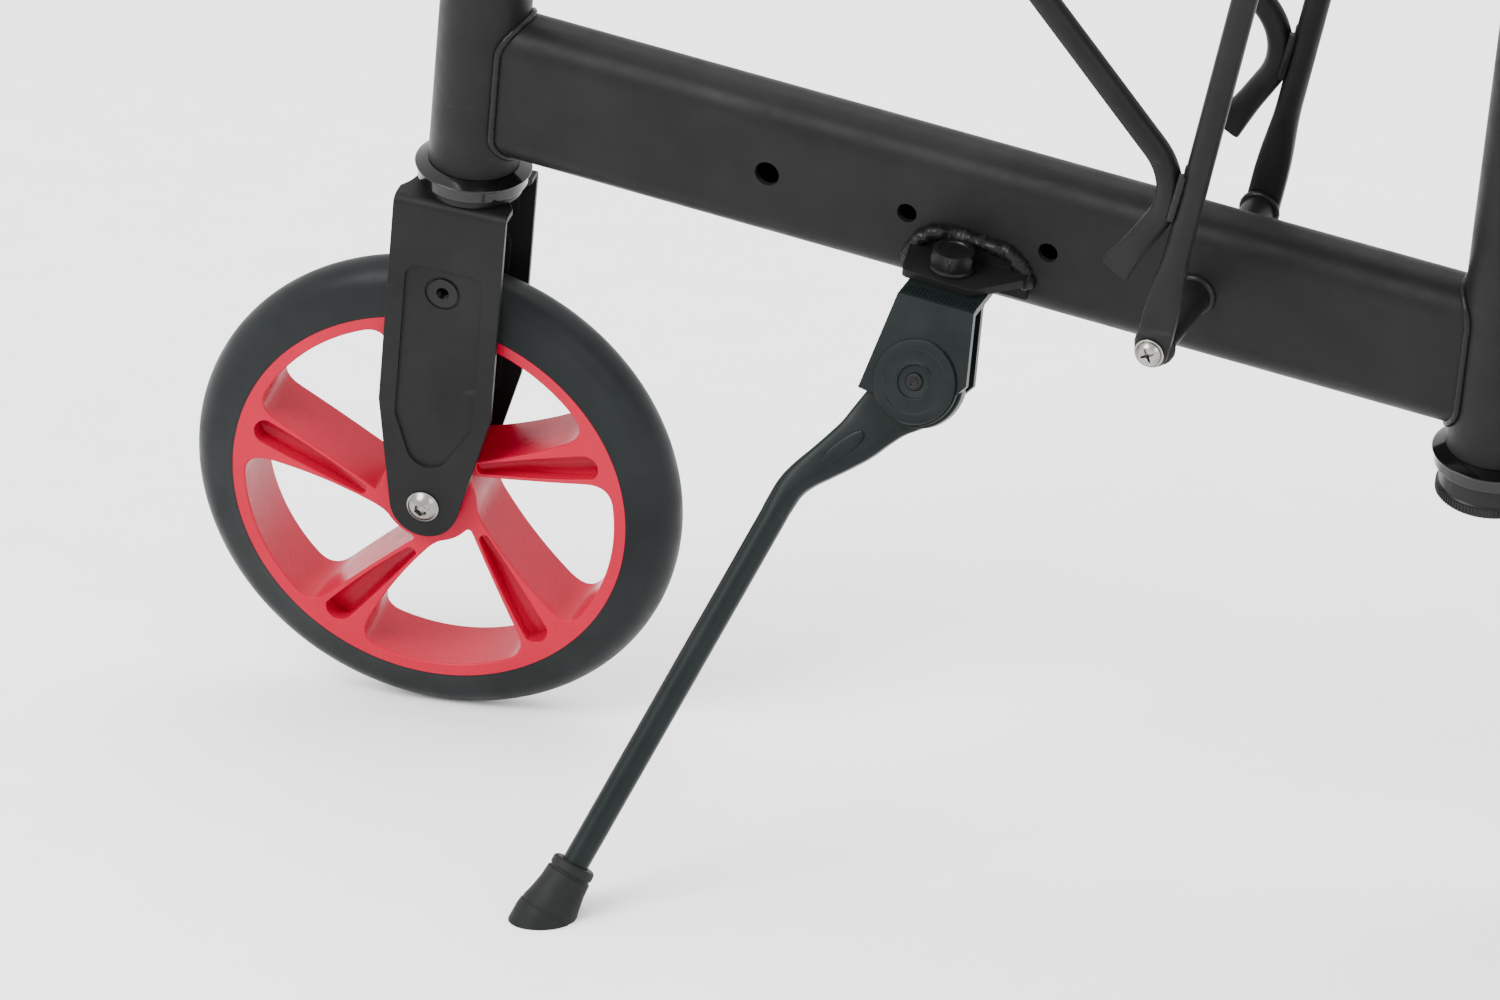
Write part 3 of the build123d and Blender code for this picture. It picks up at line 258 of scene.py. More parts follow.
def bent_path(points, radius, steps=10):
    """Straight runs joined by arcs of a given radius."""
    result = [Vector(points[0])]
    for i in range(1, len(points) - 1):
        corner = Vector(points[i])
        a = (Vector(points[i - 1]) - corner).normalized()
        b = (Vector(points[i + 1]) - corner).normalized()
        half = a.angle(b) / 2
        cut = radius / math.tan(half)
        middle = (a + b).normalized()
        centre = corner + middle * (radius / math.sin(half))
        start, end = corner + a * cut - centre, corner + b * cut - centre
        sweep_angle = start.angle(end)
        axis = start.cross(end).normalized()
        for k in range(steps + 1):
            result.append(centre + Matrix.Rotation(sweep_angle * k / steps, 3, axis) @ start)
    result.append(Vector(points[-1]))
    return result


def bar_along(bm, path, side, section, segments=32, rounded_ends=0.0):
    """Sweep a section along a path. side is the direction of the section's width; section(i) gives its half
    width, half thickness and squareness."""
    rings = []
    count = len(path)
    side = Vector(side)
    for i, point in enumerate(path):
        ahead = path[min(i + 1, count - 1)] - path[max(i - 1, 0)]
        ahead.normalize()
        across = (side - ahead * side.dot(ahead)).normalized()
        over = ahead.cross(across)
        wide, thick, square = section(i)
        ring = []
        for k in range(segments):
            angle = 2 * math.pi * k / segments
            c, s = math.cos(angle), math.sin(angle)
            x = math.copysign(abs(c) ** (2 / square), c) * wide
            y = math.copysign(abs(s) ** (2 / square), s) * thick
            ring.append(point + across * x + over * y)
        rings.append(ring)
    if rounded_ends:
        for end in (0, -1):
            base = rings[end]
            point = path[end]
            ahead = (path[1] - path[0] if end == 0 else path[-1] - path[-2]).normalized()
            sign = -1 if end == 0 else 1
            extra = []
            for t in (0.35, 0.7, 0.92):
                pull = math.sqrt(1 - t * t)
                extra.append([point + (p - point) * pull + ahead * (sign * rounded_ends * t) for p in base])
            rings = (list(reversed(extra)) + rings) if end == 0 else rings + extra
    loft(bm, rings)


def round_bar(bm, start, end, radius, segments=32):
    path = [Vector(start), Vector(end)]
    side = Vector((0, 1, 0)) if abs((path[1] - path[0]).normalized().y) < 0.9 else Vector((1, 0, 0))
    bar_along(bm, path, side, lambda i: (radius, radius, 2), segments)


def shape_ring(radius, height, count, kind="round"):
    """A ring that is round, hexagonal or cross shaped, with equal point counts so that rings can be joined."""
    ring = []
    for k in range(count):
        angle = 2 * math.pi * k / count
        if kind == "hex":
            r = radius / math.cos((k * 2 * math.pi / count + math.pi / 6) % (math.pi / 3) - math.pi / 6)
        elif kind == "cross":
            lobe = abs(math.cos(2 * angle))
            r = radius * (0.34 + 0.66 * lobe ** 6)
        else:
            r = radius
        ring.append((r * math.cos(angle), r * math.sin(angle), height))
    return ring


def button_head(bm, place, radius, height, socket, kind="hex"):
    """A domed screw head with a socket, standing on the XY plane of place."""
    count = 48
    rings = [shape_ring(radius * 0.97, 0, count), shape_ring(radius, height * 0.12, count)]
    dome = (radius ** 2 + height ** 2) / (2 * height)
    inner = socket * 1.18
    for k in range(9):
        r = radius - (radius - inner) * (k / 8)
        rings.append(shape_ring(r * (1 if k else 0.995), height - dome + math.sqrt(dome ** 2 - r ** 2)
                                + (height * 0.16 if k == 0 else 0), count))
    top = rings[-1][0][2]
    rings.append(shape_ring(socket * 1.04, top - 0.15, count, kind))
    rings.append(shape_ring(socket * 0.94, top - height * 0.62, count, kind))
    rings.append(shape_ring(socket * 0.2, top - height * 0.75, count))
    loft(bm, [[place @ Vector(p) for p in ring] for ring in rings])


def hex_head(bm, place, across, height, flange=0.0, flange_height=0.0, shank=0.0, drop=0.0):
    """A hexagonal head with a chamfered top, and a round flange below it where it has one."""
    count = 48
    half = across / 2
    rings = []
    if flange:
        rings += [shape_ring(flange, 0, count), shape_ring(flange, flange_height * 0.6, count),
                  shape_ring(flange * 0.96, flange_height, count),
                  shape_ring(half * 1.12, flange_height * 1.15, count)]
        rings += [shape_ring(half, flange_height * 1.3, count, "hex")]
    else:
        rings += [shape_ring(half * 1.05, 0, count), shape_ring(half, height * 0.1, count, "hex")]
    rings += [shape_ring(half, height - half * 0.17, count, "hex")]
    corner = half * 1.02
    rings += [shape_ring(corner, height - half * 0.04, count), shape_ring(half * 0.94, height, count)]
    rings += [shape_ring(half * 0.72, height, count), shape_ring(half * 0.66, height - 0.5, count)]
    rings += [shape_ring(half * 0.2, height - 0.5, count)]
    loft(bm, [[place @ Vector(p) for p in ring] for ring in rings])
    if shank:
        turned(bm, [(0.01, -drop), (shank, -drop), (shank, 0.1), (0.01, 0.1)], 32,
               place.translation, place.to_3x3())


def mesh_of(name, bm, place=MM):
    """Turn an outline's skin into a mesh with its normals outwards."""
    bmesh.ops.recalc_face_normals(bm, faces=bm.faces)
    mesh = bpy.data.meshes.new(name)
    bm.to_mesh(mesh)
    bm.free()
    mesh.transform(place)
    return mesh


def added(name, data):
    obj = bpy.data.objects.new(name, data)
    bpy.context.scene.collection.objects.link(obj)
    return obj


def piece(name, bm, place, slot, body, replaces=(), angle=32.0, finish=None, merge=1e-5):
    """Finish a mesh given in millimetres: put it in place, shade it and give it its finish and its body."""
    if merge:
        bmesh.ops.remove_doubles(bm, verts=bm.verts, dist=merge)
    mesh = mesh_of(name, bm, Matrix.Identity(4) if place is None else place @ MM)
    return dress(added(name, mesh), slot, body, replaces, angle, finish)


def stand_in(node, bm, place, angle=32.0, merge=1e-5):
    """A finished piece that takes the place of a node."""
    return piece(node + "_finished", bm, place, SLOT[node], BODY[node], [node], angle, merge=merge)


def dress(obj, slot, body, replaces=(), angle=32.0, finish=None):
    mesh = obj.data
    mesh.materials.clear()
    mesh.materials.append(finish or FINISH[slot])
    if angle is not None:
        mesh.polygons.foreach_set("use_smooth", [True] * len(mesh.polygons))
        mesh.set_sharp_from_angle(angle=math.radians(angle))
    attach(obj, body)
    if replaces:
        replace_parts(obj, *replaces)
    return obj


def applied(obj):
    """Turn a piece with modifiers into a plain mesh."""
    bpy.context.view_layer.update()
    graph = bpy.context.evaluated_depsgraph_get()
    mesh = bpy.data.meshes.new_from_object(obj.evaluated_get(graph))
    obj.modifiers.clear()
    obj.data = mesh
    return obj


def even_shading(obj):
    """Keep large flat faces flat beside rounded edges."""
    weighted = obj.modifiers.new("shading", "WEIGHTED_NORMAL")
    weighted.keep_sharp = True
    applied(obj)


def soften(node, width, steps=2):
    """A cleaned copy of a hard piece with its edges rounded over."""
    mesh = frame["nodes"][node].data.copy()
    bm = bmesh.new()
    bm.from_mesh(mesh)
    bmesh.ops.remove_doubles(bm, verts=bm.verts, dist=2e-6)
    bmesh.ops.dissolve_degenerate(bm, dist=2e-6, edges=bm.edges)
    bmesh.ops.dissolve_limit(bm, angle_limit=math.radians(0.5), verts=bm.verts, edges=bm.edges,
                             delimit={"NORMAL"})
    bm.to_mesh(mesh)
    bm.free()
    obj = added(node + "_finished", mesh)
    bevel = obj.modifiers.new("edges", "BEVEL")
    bevel.width = width * 0.001
    bevel.segments = steps
    bevel.limit_method = "ANGLE"
    bevel.angle_limit = math.radians(30)
    bevel.use_clamp_overlap = True
    bevel.miter_outer = "MITER_ARC"
    weighted = obj.modifiers.new("shading", "WEIGHTED_NORMAL")
    weighted.keep_sharp = True
    mesh.polygons.foreach_set("use_smooth", [True] * len(mesh.polygons))
    mesh.materials.clear()
    applied(obj)
    return dress(obj, SLOT[node], BODY[node], [node], None)


def turned_piece(node, place, profile, soft, segments=128, x=0.0, angle=32):
    bm = bmesh.new()
    turned_2(bm, profile, soft, segments=segments, centre=(x, 0, 0))
    return stand_in(node, bm, place, angle)


# ---- node trees for beads and repeated pieces ---------------------------------------------------------------
def new_tree(name, inputs):
    """An empty tree with its named inputs; gives the tree and the outputs of its input node."""
    tree = bpy.data.node_groups.new(name, "GeometryNodeTree")
    inputs = [("Geometry", "Geometry", None)] + inputs + [("Finish", "Material", None)]
    for label, kind, value in inputs:
        socket = tree.interface.new_socket(label, in_out="INPUT", socket_type="NodeSocket" + kind)
        if value is not None:
            socket.default_value = value
    tree.interface.new_socket("Geometry", in_out="OUTPUT", socket_type="NodeSocketGeometry")
    return tree, tree.nodes.new("NodeGroupInput").outputs


def end_tree(tree, geometry, given):
    """Make the result real geometry, give it its finish and send it out."""
    real = put(tree, "GeometryNodeRealizeInstances", {"Geometry": geometry}).outputs["Geometry"]
    paint = put(tree, "GeometryNodeSetMaterial", {"Geometry": real, "Material": given["Finish"]})
    put(tree, "NodeGroupOutput", {"Geometry": paint.outputs["Geometry"]})
    return tree


def bead_tree():
    """A weld bead: a tube along a line, with ripples across it and an uneven width."""
    tree, given = new_tree("weld_bead", [
        ("Radius", "Float", 0.0015), ("Step", "Float", 0.0006), ("Ripple", "Float", 0.0004),
        ("Ripple size", "Float", 600.0), ("Seed", "Float", 3.0)])
    curve = put(tree, "GeometryNodeMeshToCurve", {"Mesh": given["Geometry"]}).outputs["Curve"]
    line = put(tree, "GeometryNodeResampleCurve", {"Curve": curve, "Length": given["Step"]}, mode="LENGTH")
    ring = put(tree, "GeometryNodeCurvePrimitiveCircle", {"Resolution": 12, "Radius": given["Radius"]})
    skin = put(tree, "GeometryNodeCurveToMesh", {
        "Curve": line.outputs["Curve"], "Profile Curve": ring.outputs["Curve"], "Fill Caps": True})
    noise = put(tree, "ShaderNodeTexNoise", {}, noise_dimensions="4D")
    fill(noise, {"Scale": given["Ripple size"], "W": given["Seed"], "Detail": 2.0})
    centred = put(tree, "ShaderNodeMath", {0: noise.outputs["Fac"], 1: 0.5}, operation="SUBTRACT").outputs[0]
    strong = put(tree, "ShaderNodeMath", {0: centred, 1: given["Ripple"]}, operation="MULTIPLY").outputs[0]
    normal = put(tree, "GeometryNodeInputNormal").outputs["Normal"]
    push = put(tree, "ShaderNodeVectorMath", {0: normal, "Scale": strong}, operation="SCALE").outputs["Vector"]
    moved = put(tree, "GeometryNodeSetPosition", {"Geometry": skin.outputs["Mesh"], "Offset": push})
    return end_tree(tree, moved.outputs["Geometry"], given)


def repeat_tree():
    """One small piece set on every point, turned by the point's own angles."""
    tree, given = new_tree("repeat_on_points", [("Piece", "Object", None), ("Size", "Float", 1.0)])
    info = put(tree, "GeometryNodeObjectInfo", {"Object": given["Piece"]}).outputs["Geometry"]
    turn = put(tree, "GeometryNodeInputNamedAttribute", {"Name": "turn"}, data_type="FLOAT_VECTOR")
    placed = put(tree, "GeometryNodeInstanceOnPoints", {
        "Points": given["Geometry"], "Instance": info, "Rotation": turn.outputs["Attribute"],
        "Scale": given["Size"]})
    return end_tree(tree, placed.outputs["Instances"], given)


BEAD, REPEAT = bead_tree(), repeat_tree()


def run_tree(obj, tree, values):
    modifier = obj.modifiers.new("nodes", "NODES")
    modifier.node_group = tree
    for item in tree.interface.items_tree:
        if item.in_out == "INPUT" and item.name in values:
            modifier[item.identifier] = values[item.name]
    applied(obj)


def weld(name, lines, radius, ripple, size=900.0, seed=3.0):
    """Weld beads along lines given in millimetres."""
    mesh = bpy.data.meshes.new(name)
    points, edges = [], []
    for line, closed in lines:
        first = len(points)
        points += [tuple(FRAME @ (Vector(p) * 0.001)) for p in line]
        edges += [(first + i, first + i + 1) for i in range(len(line) - 1)]
        if closed:
            edges.append((len(points) - 1, first))
    mesh.from_pydata(points, edges, [])
    obj = added(name, mesh)
    run_tree(obj, BEAD, {"Radius": radius * 0.001, "Ripple": ripple * 0.002, "Ripple size": size, "Seed": seed,
                         "Finish": WELD})
    return dress(obj, "frame_paint", "frame", (), 60, WELD)


def repeat(name, small, spots, body, slot, finish=None, angle=40):
    """Set copies of a small mesh on spots, each a matrix in metres."""
    tool = added(name + "_tool", small)
    mesh = bpy.data.meshes.new(name)
    mesh.from_pydata([tuple(spot.translation) for spot in spots], [], [])
    turn = mesh.attributes.new("turn", "FLOAT_VECTOR", "POINT")
    turn.data.foreach_set("vector", [v for spot in spots for v in spot.to_euler("XYZ")])
    obj = added(name, mesh)
    run_tree(obj, REPEAT, {"Piece": tool, "Size": 1.0, "Finish": finish or FINISH[slot]})
    bpy.data.objects.remove(tool)
    return dress(obj, slot, body, (), angle, finish)


# ---- frame tubes --------------------------------------------------------------------------------------------
def make_tubes():
    for node, x, top in (("head_tube", 0, HEAD_TOP), ("knee_post_tube", TUBE_SPACING, POST_TOP)):
        section = [(TUBE_BORE, TUBE_LOW), (TUBE_RADIUS, TUBE_LOW), (TUBE_RADIUS, top), (TUBE_BORE, top)]
        turned_piece(node, FRAME, section, 0.5, x=x)


def beam_ring(inset, steps=14):
    """The beam's section as (y, z) points."""
    half_wide, half_tall, corner = 14 - inset, 30 - inset, 12 - inset
    points = []
    for cy, cz, start in ((1, 1, 0), (-1, 1, 90), (-1, -1, 180), (1, -1, 270)):
        for k in range(steps + 1):
            angle = math.radians(start + 90 * k / steps)
            points.append((cy * (half_wide - corner) + corner * math.cos(angle),
                           cz * (half_tall - corner) + corner * math.sin(angle)))
    return points


def make_beam():
    """A rectangular tube with rounded corners, coped to the two upright tubes and drilled through its sides."""
    bm = bmesh.new()
    rings = []
    for inset in (0, BEAM_WALL):
        section = beam_ring(inset)
        ends = []
        for t in (0.0, 0.02, 0.25, 0.5, 0.75, 0.98, 1.0):
            ring = []
            for y, z in section:
                cope = math.sqrt(TUBE_RADIUS ** 2 - min(y * y, 196)) - 0.3
                ring.append(Vector((cope + (TUBE_SPACING - 2 * cope) * t, y, z)))
            ends.append(ring)
        rings += ends if inset == 0 else list(reversed(ends))
    loft(bm, rings, closed=True)
    obj = stand_in("main_beam", bm, FRAME)
    cutter = bmesh.new()
    for x, radius in SIDE_HOLES:
        round_bar(cutter, (x, -20, 0), (x, 20, 0), radius, 48)
    drill = added("drill", mesh_of("drill", cutter, FRAME @ MM))
    cut = obj.modifiers.new("holes", "BOOLEAN")
    cut.operation, cut.solver, cut.object = "DIFFERENCE", "EXACT", drill
    keep = obj.parent
    applied(obj)
    obj.parent = keep
    obj.data.polygons.foreach_set("use_smooth", [True] * len(obj.data.polygons))
    obj.data.set_sharp_from_angle(angle=math.radians(32))
    bpy.data.objects.remove(drill)
    lines = []
    for x, sign in ((0, 1), (TUBE_SPACING, -1)):
        line = [(x + sign * (math.sqrt(TUBE_RADIUS ** 2 - min(y * y, 196)) + 0.5), y * 1.02, z * 1.01)
                for y, z in beam_ring(0)]
        lines.append((line, True))
    weld("beam_welds", lines, 1.5, 0.45)


def cup_profile(end, down):
    """The pressed cup at a tube's end, as (radius, height)."""
    shape = [(14.7, -6), (15.5, -6), (15.5, -0.2), (18.3, 0), (23.0, 2.1), (23.0, 2.7), (21.7, 3.4), (21.7, 7.8),
             (21.0, 8.4), (17.5, 8.4), (17.5, 1.6), (14.7, 1.6)]
    return [(r, end + down * h) for r, h in shape]


def make_cups():
    for name, x, top in (("head", 0, HEAD_TOP), ("post", TUBE_SPACING, POST_TOP)):
        for where, end, down in (("lower", TUBE_LOW, -1), ("upper", top, 1)):
            turned_piece(f"{name}_{where}_cup", FRAME, cup_profile(end, down), 0.45, x=x)


def knurl_teeth(name, x, low, high, radius, body, count=90):
    """Upright teeth round a lock ring."""
    bm = bmesh.new()
    bar_along(bm, [Vector((0, 0, low)), Vector((0, 0, high))], (1, 0, 0), lambda i: (0.45, 0.5, 2), 6)
    mesh = mesh_of(name + "_tooth", bm)
    spots = []
    for k in range(count):
        angle = 2 * math.pi * k / count
        spots.append(FRAME @ Matrix.Translation((x * 0.001, 0, 0)) @ Matrix.Rotation(angle, 4, "Z")
                     @ Matrix.Translation((radius * 0.001, 0, 0)))
    repeat(name, mesh, spots, body, "black_oxide")


def make_headset_rings():
    turned_piece("fork_crown_race", FRAME, [(14.35, -49.5), (20, -49.5), (20, -46.7), (14.35, -46.7)], 0.3)
    turned_piece("headset_top_nut", FRAME, [
        (14.35, 66.7), (20, 66.7), (20, 70.7), (18, 72.7), (18, 78.7), (14.35, 78.7)], 0.5)
    bm = bmesh.new()
    centre = (TUBE_SPACING, 0, 0)
    turned_2(bm, [(14.35, -46.7), (19, -46.7), (19, -54.0), (19.6, -54.5), (19.6, -58.4), (18.9, -59.1),
                  (14.35, -59.1)], 0.3, segments=128, centre=centre)
    turned_2(bm, [(14.35, 184.7), (20, 184.7), (20, 188.7), (18.5, 190.7), (18.5, 196.7), (14.35, 196.7)], 0.5,
             segments=128, centre=centre)
    stand_in("knee_lock_rings", bm, FRAME)
    knurl_teeth("lock_ring_teeth", TUBE_SPACING, -58.3, -54.8, 19.6, "knee_sleeve")


# ---- wheels -------------------------------------------------------------------------------------------------
def crown_points():
    """The tyre's outline as (radius, half width), from the bead to the middle of the tread."""
    centre, radius, bead, half = 88.0, 12.0, 80.6, 15.0
    reach = math.hypot(centre - bead, half)
    run = math.sqrt(reach ** 2 - radius ** 2)
    slope = math.atan2(-half, centre - bead) + math.atan2(radius, run)
    start = (bead + run * math.cos(slope), half + run * math.sin(slope))
    points = [(bead, half - 1.2), (bead + 0.3, half - 0.35), (bead + 1.1, half - 0.2)]
    points += [(bead + (start[0] - bead) * t, half + (start[1] - half) * t) for t in (0.2, 0.5, 0.8)]
    first = math.atan2(start[1], start[0] - centre)
    for k in range(15):
        angle = first * (1 - k / 14)
        points.append((centre + radius * math.cos(angle), radius * math.sin(angle)))
    return points


def make_tyre(name, place):
    side = crown_points()
    outline = side[:-1] + [(99.95, 0.35), (100.0, 0.0), (99.95, -0.35)]
    outline += [(r, -w) for r, w in reversed(side[:-1])]
    outline += [(80.6, -5), (77.7, -5), (77.7, 5), (80.6, 5)]
    bm = bmesh.new()
    flat = Matrix.Rotation(math.radians(-90), 3, "X")
    turned(bm, outline, 224, turn=flat)
    stand_in(name + "_tyre", bm, place, 50)


def arc_points(a, b, c, steps):
    """Points on the arc through three points in the plane."""
    (ax, ay), (bx, by), (cx, cy) = a, b, c
    d = 2 * (ax * (by - cy) + bx * (cy - ay) + cx * (ay - by))
    ux = ((ax * ax + ay * ay) * (by - cy) + (bx * bx + by * by) * (cy - ay) + (cx * cx + cy * cy) * (ay - by)) / d
    uy = ((ax * ax + ay * ay) * (cx - bx) + (bx * bx + by * by) * (ax - cx) + (cx * cx + cy * cy) * (bx - ax)) / d
    radius = math.hypot(ax - ux, ay - uy)
    start, middle, end = (math.atan2(y - uy, x - ux) for x, y in (a, b, c))
    def near(value, base):
        return base + (value - base + math.pi) % (2 * math.pi) - math.pi
    middle = near(middle, start)
    end = near(end, middle)
    return [(ux + radius * math.cos(start + (end - start) * k / steps),
             uy + radius * math.sin(start + (end - start) * k / steps)) for k in range(steps + 1)]


def rotate(points, degrees):
    c, s = math.cos(math.radians(degrees)), math.sin(math.radians(degrees))
    return [(x * c - y * s, x * s + y * c) for x, y in points]


LEADING = arc_points((12.5, 13.6), (42, 10.2), (79, 13.0), 24)
TRAILING = arc_points((17.5, 6.6), (50, -3.3), (79, -11.0), 24)
SPOKE_PHASE, WINDOW_OUT, HUB = 26.0, 76.4, 20.0


def fillet_polygon(points, radius_at, steps=7):
    """Round the sharp corners of a dense polygon."""
    count = len(points)
    sharp = []
    for i in range(count):
        a = Vector(points[i]) - Vector(points[i - 1])
        b = Vector(points[(i + 1) % count]) - Vector(points[i])
        if a.length > 1e-6 and b.length > 1e-6 and abs(a.angle_signed(b)) > math.radians(25):
            sharp.append(i)
    result = []
    skip = set()
    arcs = {}
    for i in sharp:
        corner = Vector(points[i])
        reach = radius_at(corner)
        def walk(step):
            j, gone = i, 0.0
            while gone < reach:
                gone += (Vector(points[(j + step) % count]) - Vector(points[j % count])).length
                j += step
            return j
        before, after = walk(-1), walk(1)
        start, end = Vector(points[before % count]), Vector(points[after % count])
        arcs[i] = [start * (1 - t) ** 2 + corner * 2 * t * (1 - t) + end * t * t
                   for t in [k / steps for k in range(steps + 1)]]
        skip |= {j % count for j in range(before, after + 1)} - {i}
    for i in range(count):
        if i in arcs:
            result += [tuple(p) for p in arcs[i]]
        elif i not in skip:
            result.append(tuple(points[i]))
    return result


def clipped(line):
    """The part of a line between the hub circle and the rim circle, cut exactly at both."""
    result = []
    for p, q in zip(line, line[1:]):
        p, q = Vector(p), Vector(q)
        for radius in (HUB, WINDOW_OUT):
            if (p.length - radius) * (q.length - radius) < 0:
                low, high = 0.0, 1.0
                for _ in range(40):
                    middle = (low + high) / 2
                    if (p.lerp(q, middle).length - radius) * (p.length - radius) > 0:
                        low = middle
                    else:
                        high = middle
                result.append(tuple(p.lerp(q, low)))
        if HUB < q.length < WINDOW_OUT:
            result.append(tuple(q))
    return result


def window_outline():
    """The opening between two spokes."""
    lead = rotate(LEADING, SPOKE_PHASE)
    trail = rotate(TRAILING, SPOKE_PHASE + 72)
    lead, trail = clipped(lead), clipped(trail)
    def circle(start, end, radius, steps):
        a, b = math.atan2(start[1], start[0]), math.atan2(end[1], end[0])
        b = a + (b - a + math.pi) % (2 * math.pi) - math.pi
        return [(radius * math.cos(a + (b - a) * k / steps), radius * math.sin(a + (b - a) * k / steps))
                for k in range(steps + 1)]
    outer = circle(lead[-1], trail[-1], WINDOW_OUT, 34)
    inner = circle(trail[0], lead[0], HUB, 10)
    outline = lead + outer[1:-1] + list(reversed(trail)) + inner[1:-1]
    return fillet_polygon(outline, lambda p: 8.5 if p.length > 50 else 3.2)


def groove_outline():
    lead = arc_points((26.0, 10.0), (47, 7.7), (70.5, 4.4), 16)
    trail = arc_points((26.0, 5.7), (47, -0.8), (70.5, -6.2), 16)
    tip = arc_points((70.5, 4.4), (74.6, -1.2), (70.5, -6.2), 12)
    root = arc_points((26.0, 5.7), (24.7, 8.1), (26.0, 10.0), 6)
    return lead + tip[1:-1] + list(reversed(trail)) + root[1:-1]


def offset_outline(outline, distance):
    """Move a closed outline outwards, or inwards for a negative distance."""
    count = len(outline)
    area = sum(outline[i - 1][0] * outline[i][1] - outline[i][0] * outline[i - 1][1] for i in range(count))
    sign = math.copysign(distance, area)
    result = []
    for i, (x, y) in enumerate(outline):
        way = (Vector(outline[(i + 1) % count]) - Vector(outline[i - 1])).normalized()
        result.append((x + way.y * sign, y - way.x * sign) if distance else (x, y))
    return result


def inside(point, outline):
    x, y = point
    odd = False
    for (ax, ay), (bx, by) in zip(outline, outline[1:] + outline[:1]):
        if (ay > y) != (by > y) and x < (bx - ax) * (y - ay) / (by - ay) + ax:
            odd = not odd
    return odd


def plate_with_holes(bm, outlines, half, steps=4):
    """A flat plate whose first outline is its rim and the others its holes. Each outline brings the radius its
    edge is rounded to."""
    turns = [math.pi / 2 * k / steps for k in range(steps, -1, -1)]
    flat, edges, tops, lows, faces_of = [], [], [], [], []
    for n, (outline, edge) in enumerate(outlines):
        profile = [(edge * (1 - math.cos(t)), half - edge + edge * math.sin(t)) for t in turns]
        profile += [(o, -z) for o, z in reversed(profile)]
        sign = -1 if n == 0 else 1
        made = [[bm.verts.new((x, y, z)) for x, y in offset_outline(outline, sign * o)] for o, z in profile]
        for high, low in zip(made, made[1:]):
            for i in range(len(high)):
                j = (i + 1) % len(high)
                bm.faces.new((high[i], high[j], low[j], low[i]))
        first = len(flat)
        shrunk = offset_outline(outline, sign * edge)
        flat += shrunk
        faces_of.append(shrunk)
        edges += [(first + i, first + (i + 1) % len(outline)) for i in range(len(outline))]
        tops += made[0]
        lows += made[-1]
    points, _, faces, origin, _, _ = delaunay_2d_cdt([Vector(p) for p in flat], edges, [], 0, 1e-7)
    for face in faces:
        centre = sum((points[i] for i in face), Vector((0, 0))) / 3
        if not inside(centre, faces_of[0]) or any(inside(centre, hole) for hole in faces_of[1:]):
            continue
        corners = [origin[i][0] for i in face]
        bm.faces.new([tops[i] for i in corners])
        bm.faces.new([lows[i] for i in reversed(corners)])


def circle_outline(radius, count):
    return [(radius * math.cos(2 * math.pi * k / count), radius * math.sin(2 * math.pi * k / count))
            for k in range(count)]


def groove_floor(bm, turn):
    """The scooped web between the two channels of a spoke."""
    across, along = 9, 22
    lead = arc_points((24.2, 10.5), (47, 8.5), (75.6, 5.0), along)
    trail = arc_points((24.2, 5.4), (47, -1.5), (75.6, -6.8), along)
    layers = {}
    for side in (1, -1):
        rows = []
        for i in range(along + 1):
            row = []
            for j in range(across + 1):
                t = j / across
                x = lead[i][0] * (1 - t) + trail[i][0] * t
                y = lead[i][1] * (1 - t) + trail[i][1] * t
                u = i / along
                scoop = 1 - (2 * t - 1) ** 4 * 0.45
                run = min(1, u / 0.35) ** 0.7
                depth = (3.0 + 5.6 * run) * scoop
                row.append(bm.verts.new((*rotate([(x, y)], turn)[0], side * (RIM_HALF_WIDTH - depth))))
            rows.append(row)
        for i in range(along):
            for j in range(across):
                bm.faces.new((rows[i][j], rows[i + 1][j], rows[i + 1][j + 1], rows[i][j + 1]))
        layers[side] = rows
    top, low = layers[1], layers[-1]
    rim_of = [(i, 0) for i in range(along + 1)] + [(along, j) for j in range(1, across + 1)]
    rim_of += [(i, across) for i in range(along - 1, -1, -1)] + [(0, j) for j in range(across - 1, 0, -1)]
    for (a, b), (c, d) in zip(rim_of, rim_of[1:] + rim_of[:1]):
        bm.faces.new((top[a][b], top[c][d], low[c][d], low[a][b]))


def make_rim(name, place):
    """A moulded five-spoke rim: windows between swept spokes, and a channel along each spoke."""
    turns = [72 * k for k in range(5)]
    outlines = [(circle_outline(RIM_RADIUS, 240), 0.8), (circle_outline(11.0, 72), 0.8)]
    outlines += [(rotate(window_outline(), t), 0.75) for t in turns]
    outlines += [(rotate(groove_outline(), SPOKE_PHASE + t), 0.45) for t in turns]
    bm = bmesh.new()
    plate_with_holes(bm, outlines, RIM_HALF_WIDTH)
    for t in turns:
        groove_floor(bm, SPOKE_PHASE + t)
    turned_2(bm, [(4.2, -13.9), (10.9, -13.9), (10.9, 13.9), (4.2, 13.9)], 0.3, segments=64)
    upright = Matrix.Rotation(math.radians(90), 4, "X")
    bmesh.ops.transform(bm, matrix=upright, verts=bm.verts)
    even_shading(stand_in(name + "_rim", bm, place, 38))


def make_axle(name, place, outer):
    node = name + "_axle_bolt"
    bm = bmesh.new()
    left = Matrix.Translation((0, -outer, 0)) @ Matrix.Rotation(math.radians(90), 4, "X")
    button_head(bm, left, 6.6, 4.2, 2.3)
    round_bar(bm, (0, -outer, 0), (0, outer + 9, 0), 3.95, 32)
    stand_in(node, bm, place, 40)


def make_wheels():
    for name, place, axle, outer in (("front", STEERED, FRONT_AXLE, 21.6), ("rear", FRAME, REAR_AXLE, 23.0)):
        centre = place @ Matrix.Translation(axle * 0.001)
        make_tyre(name, centre)
        make_rim(name, centre)
        make_axle(name, centre, outer)


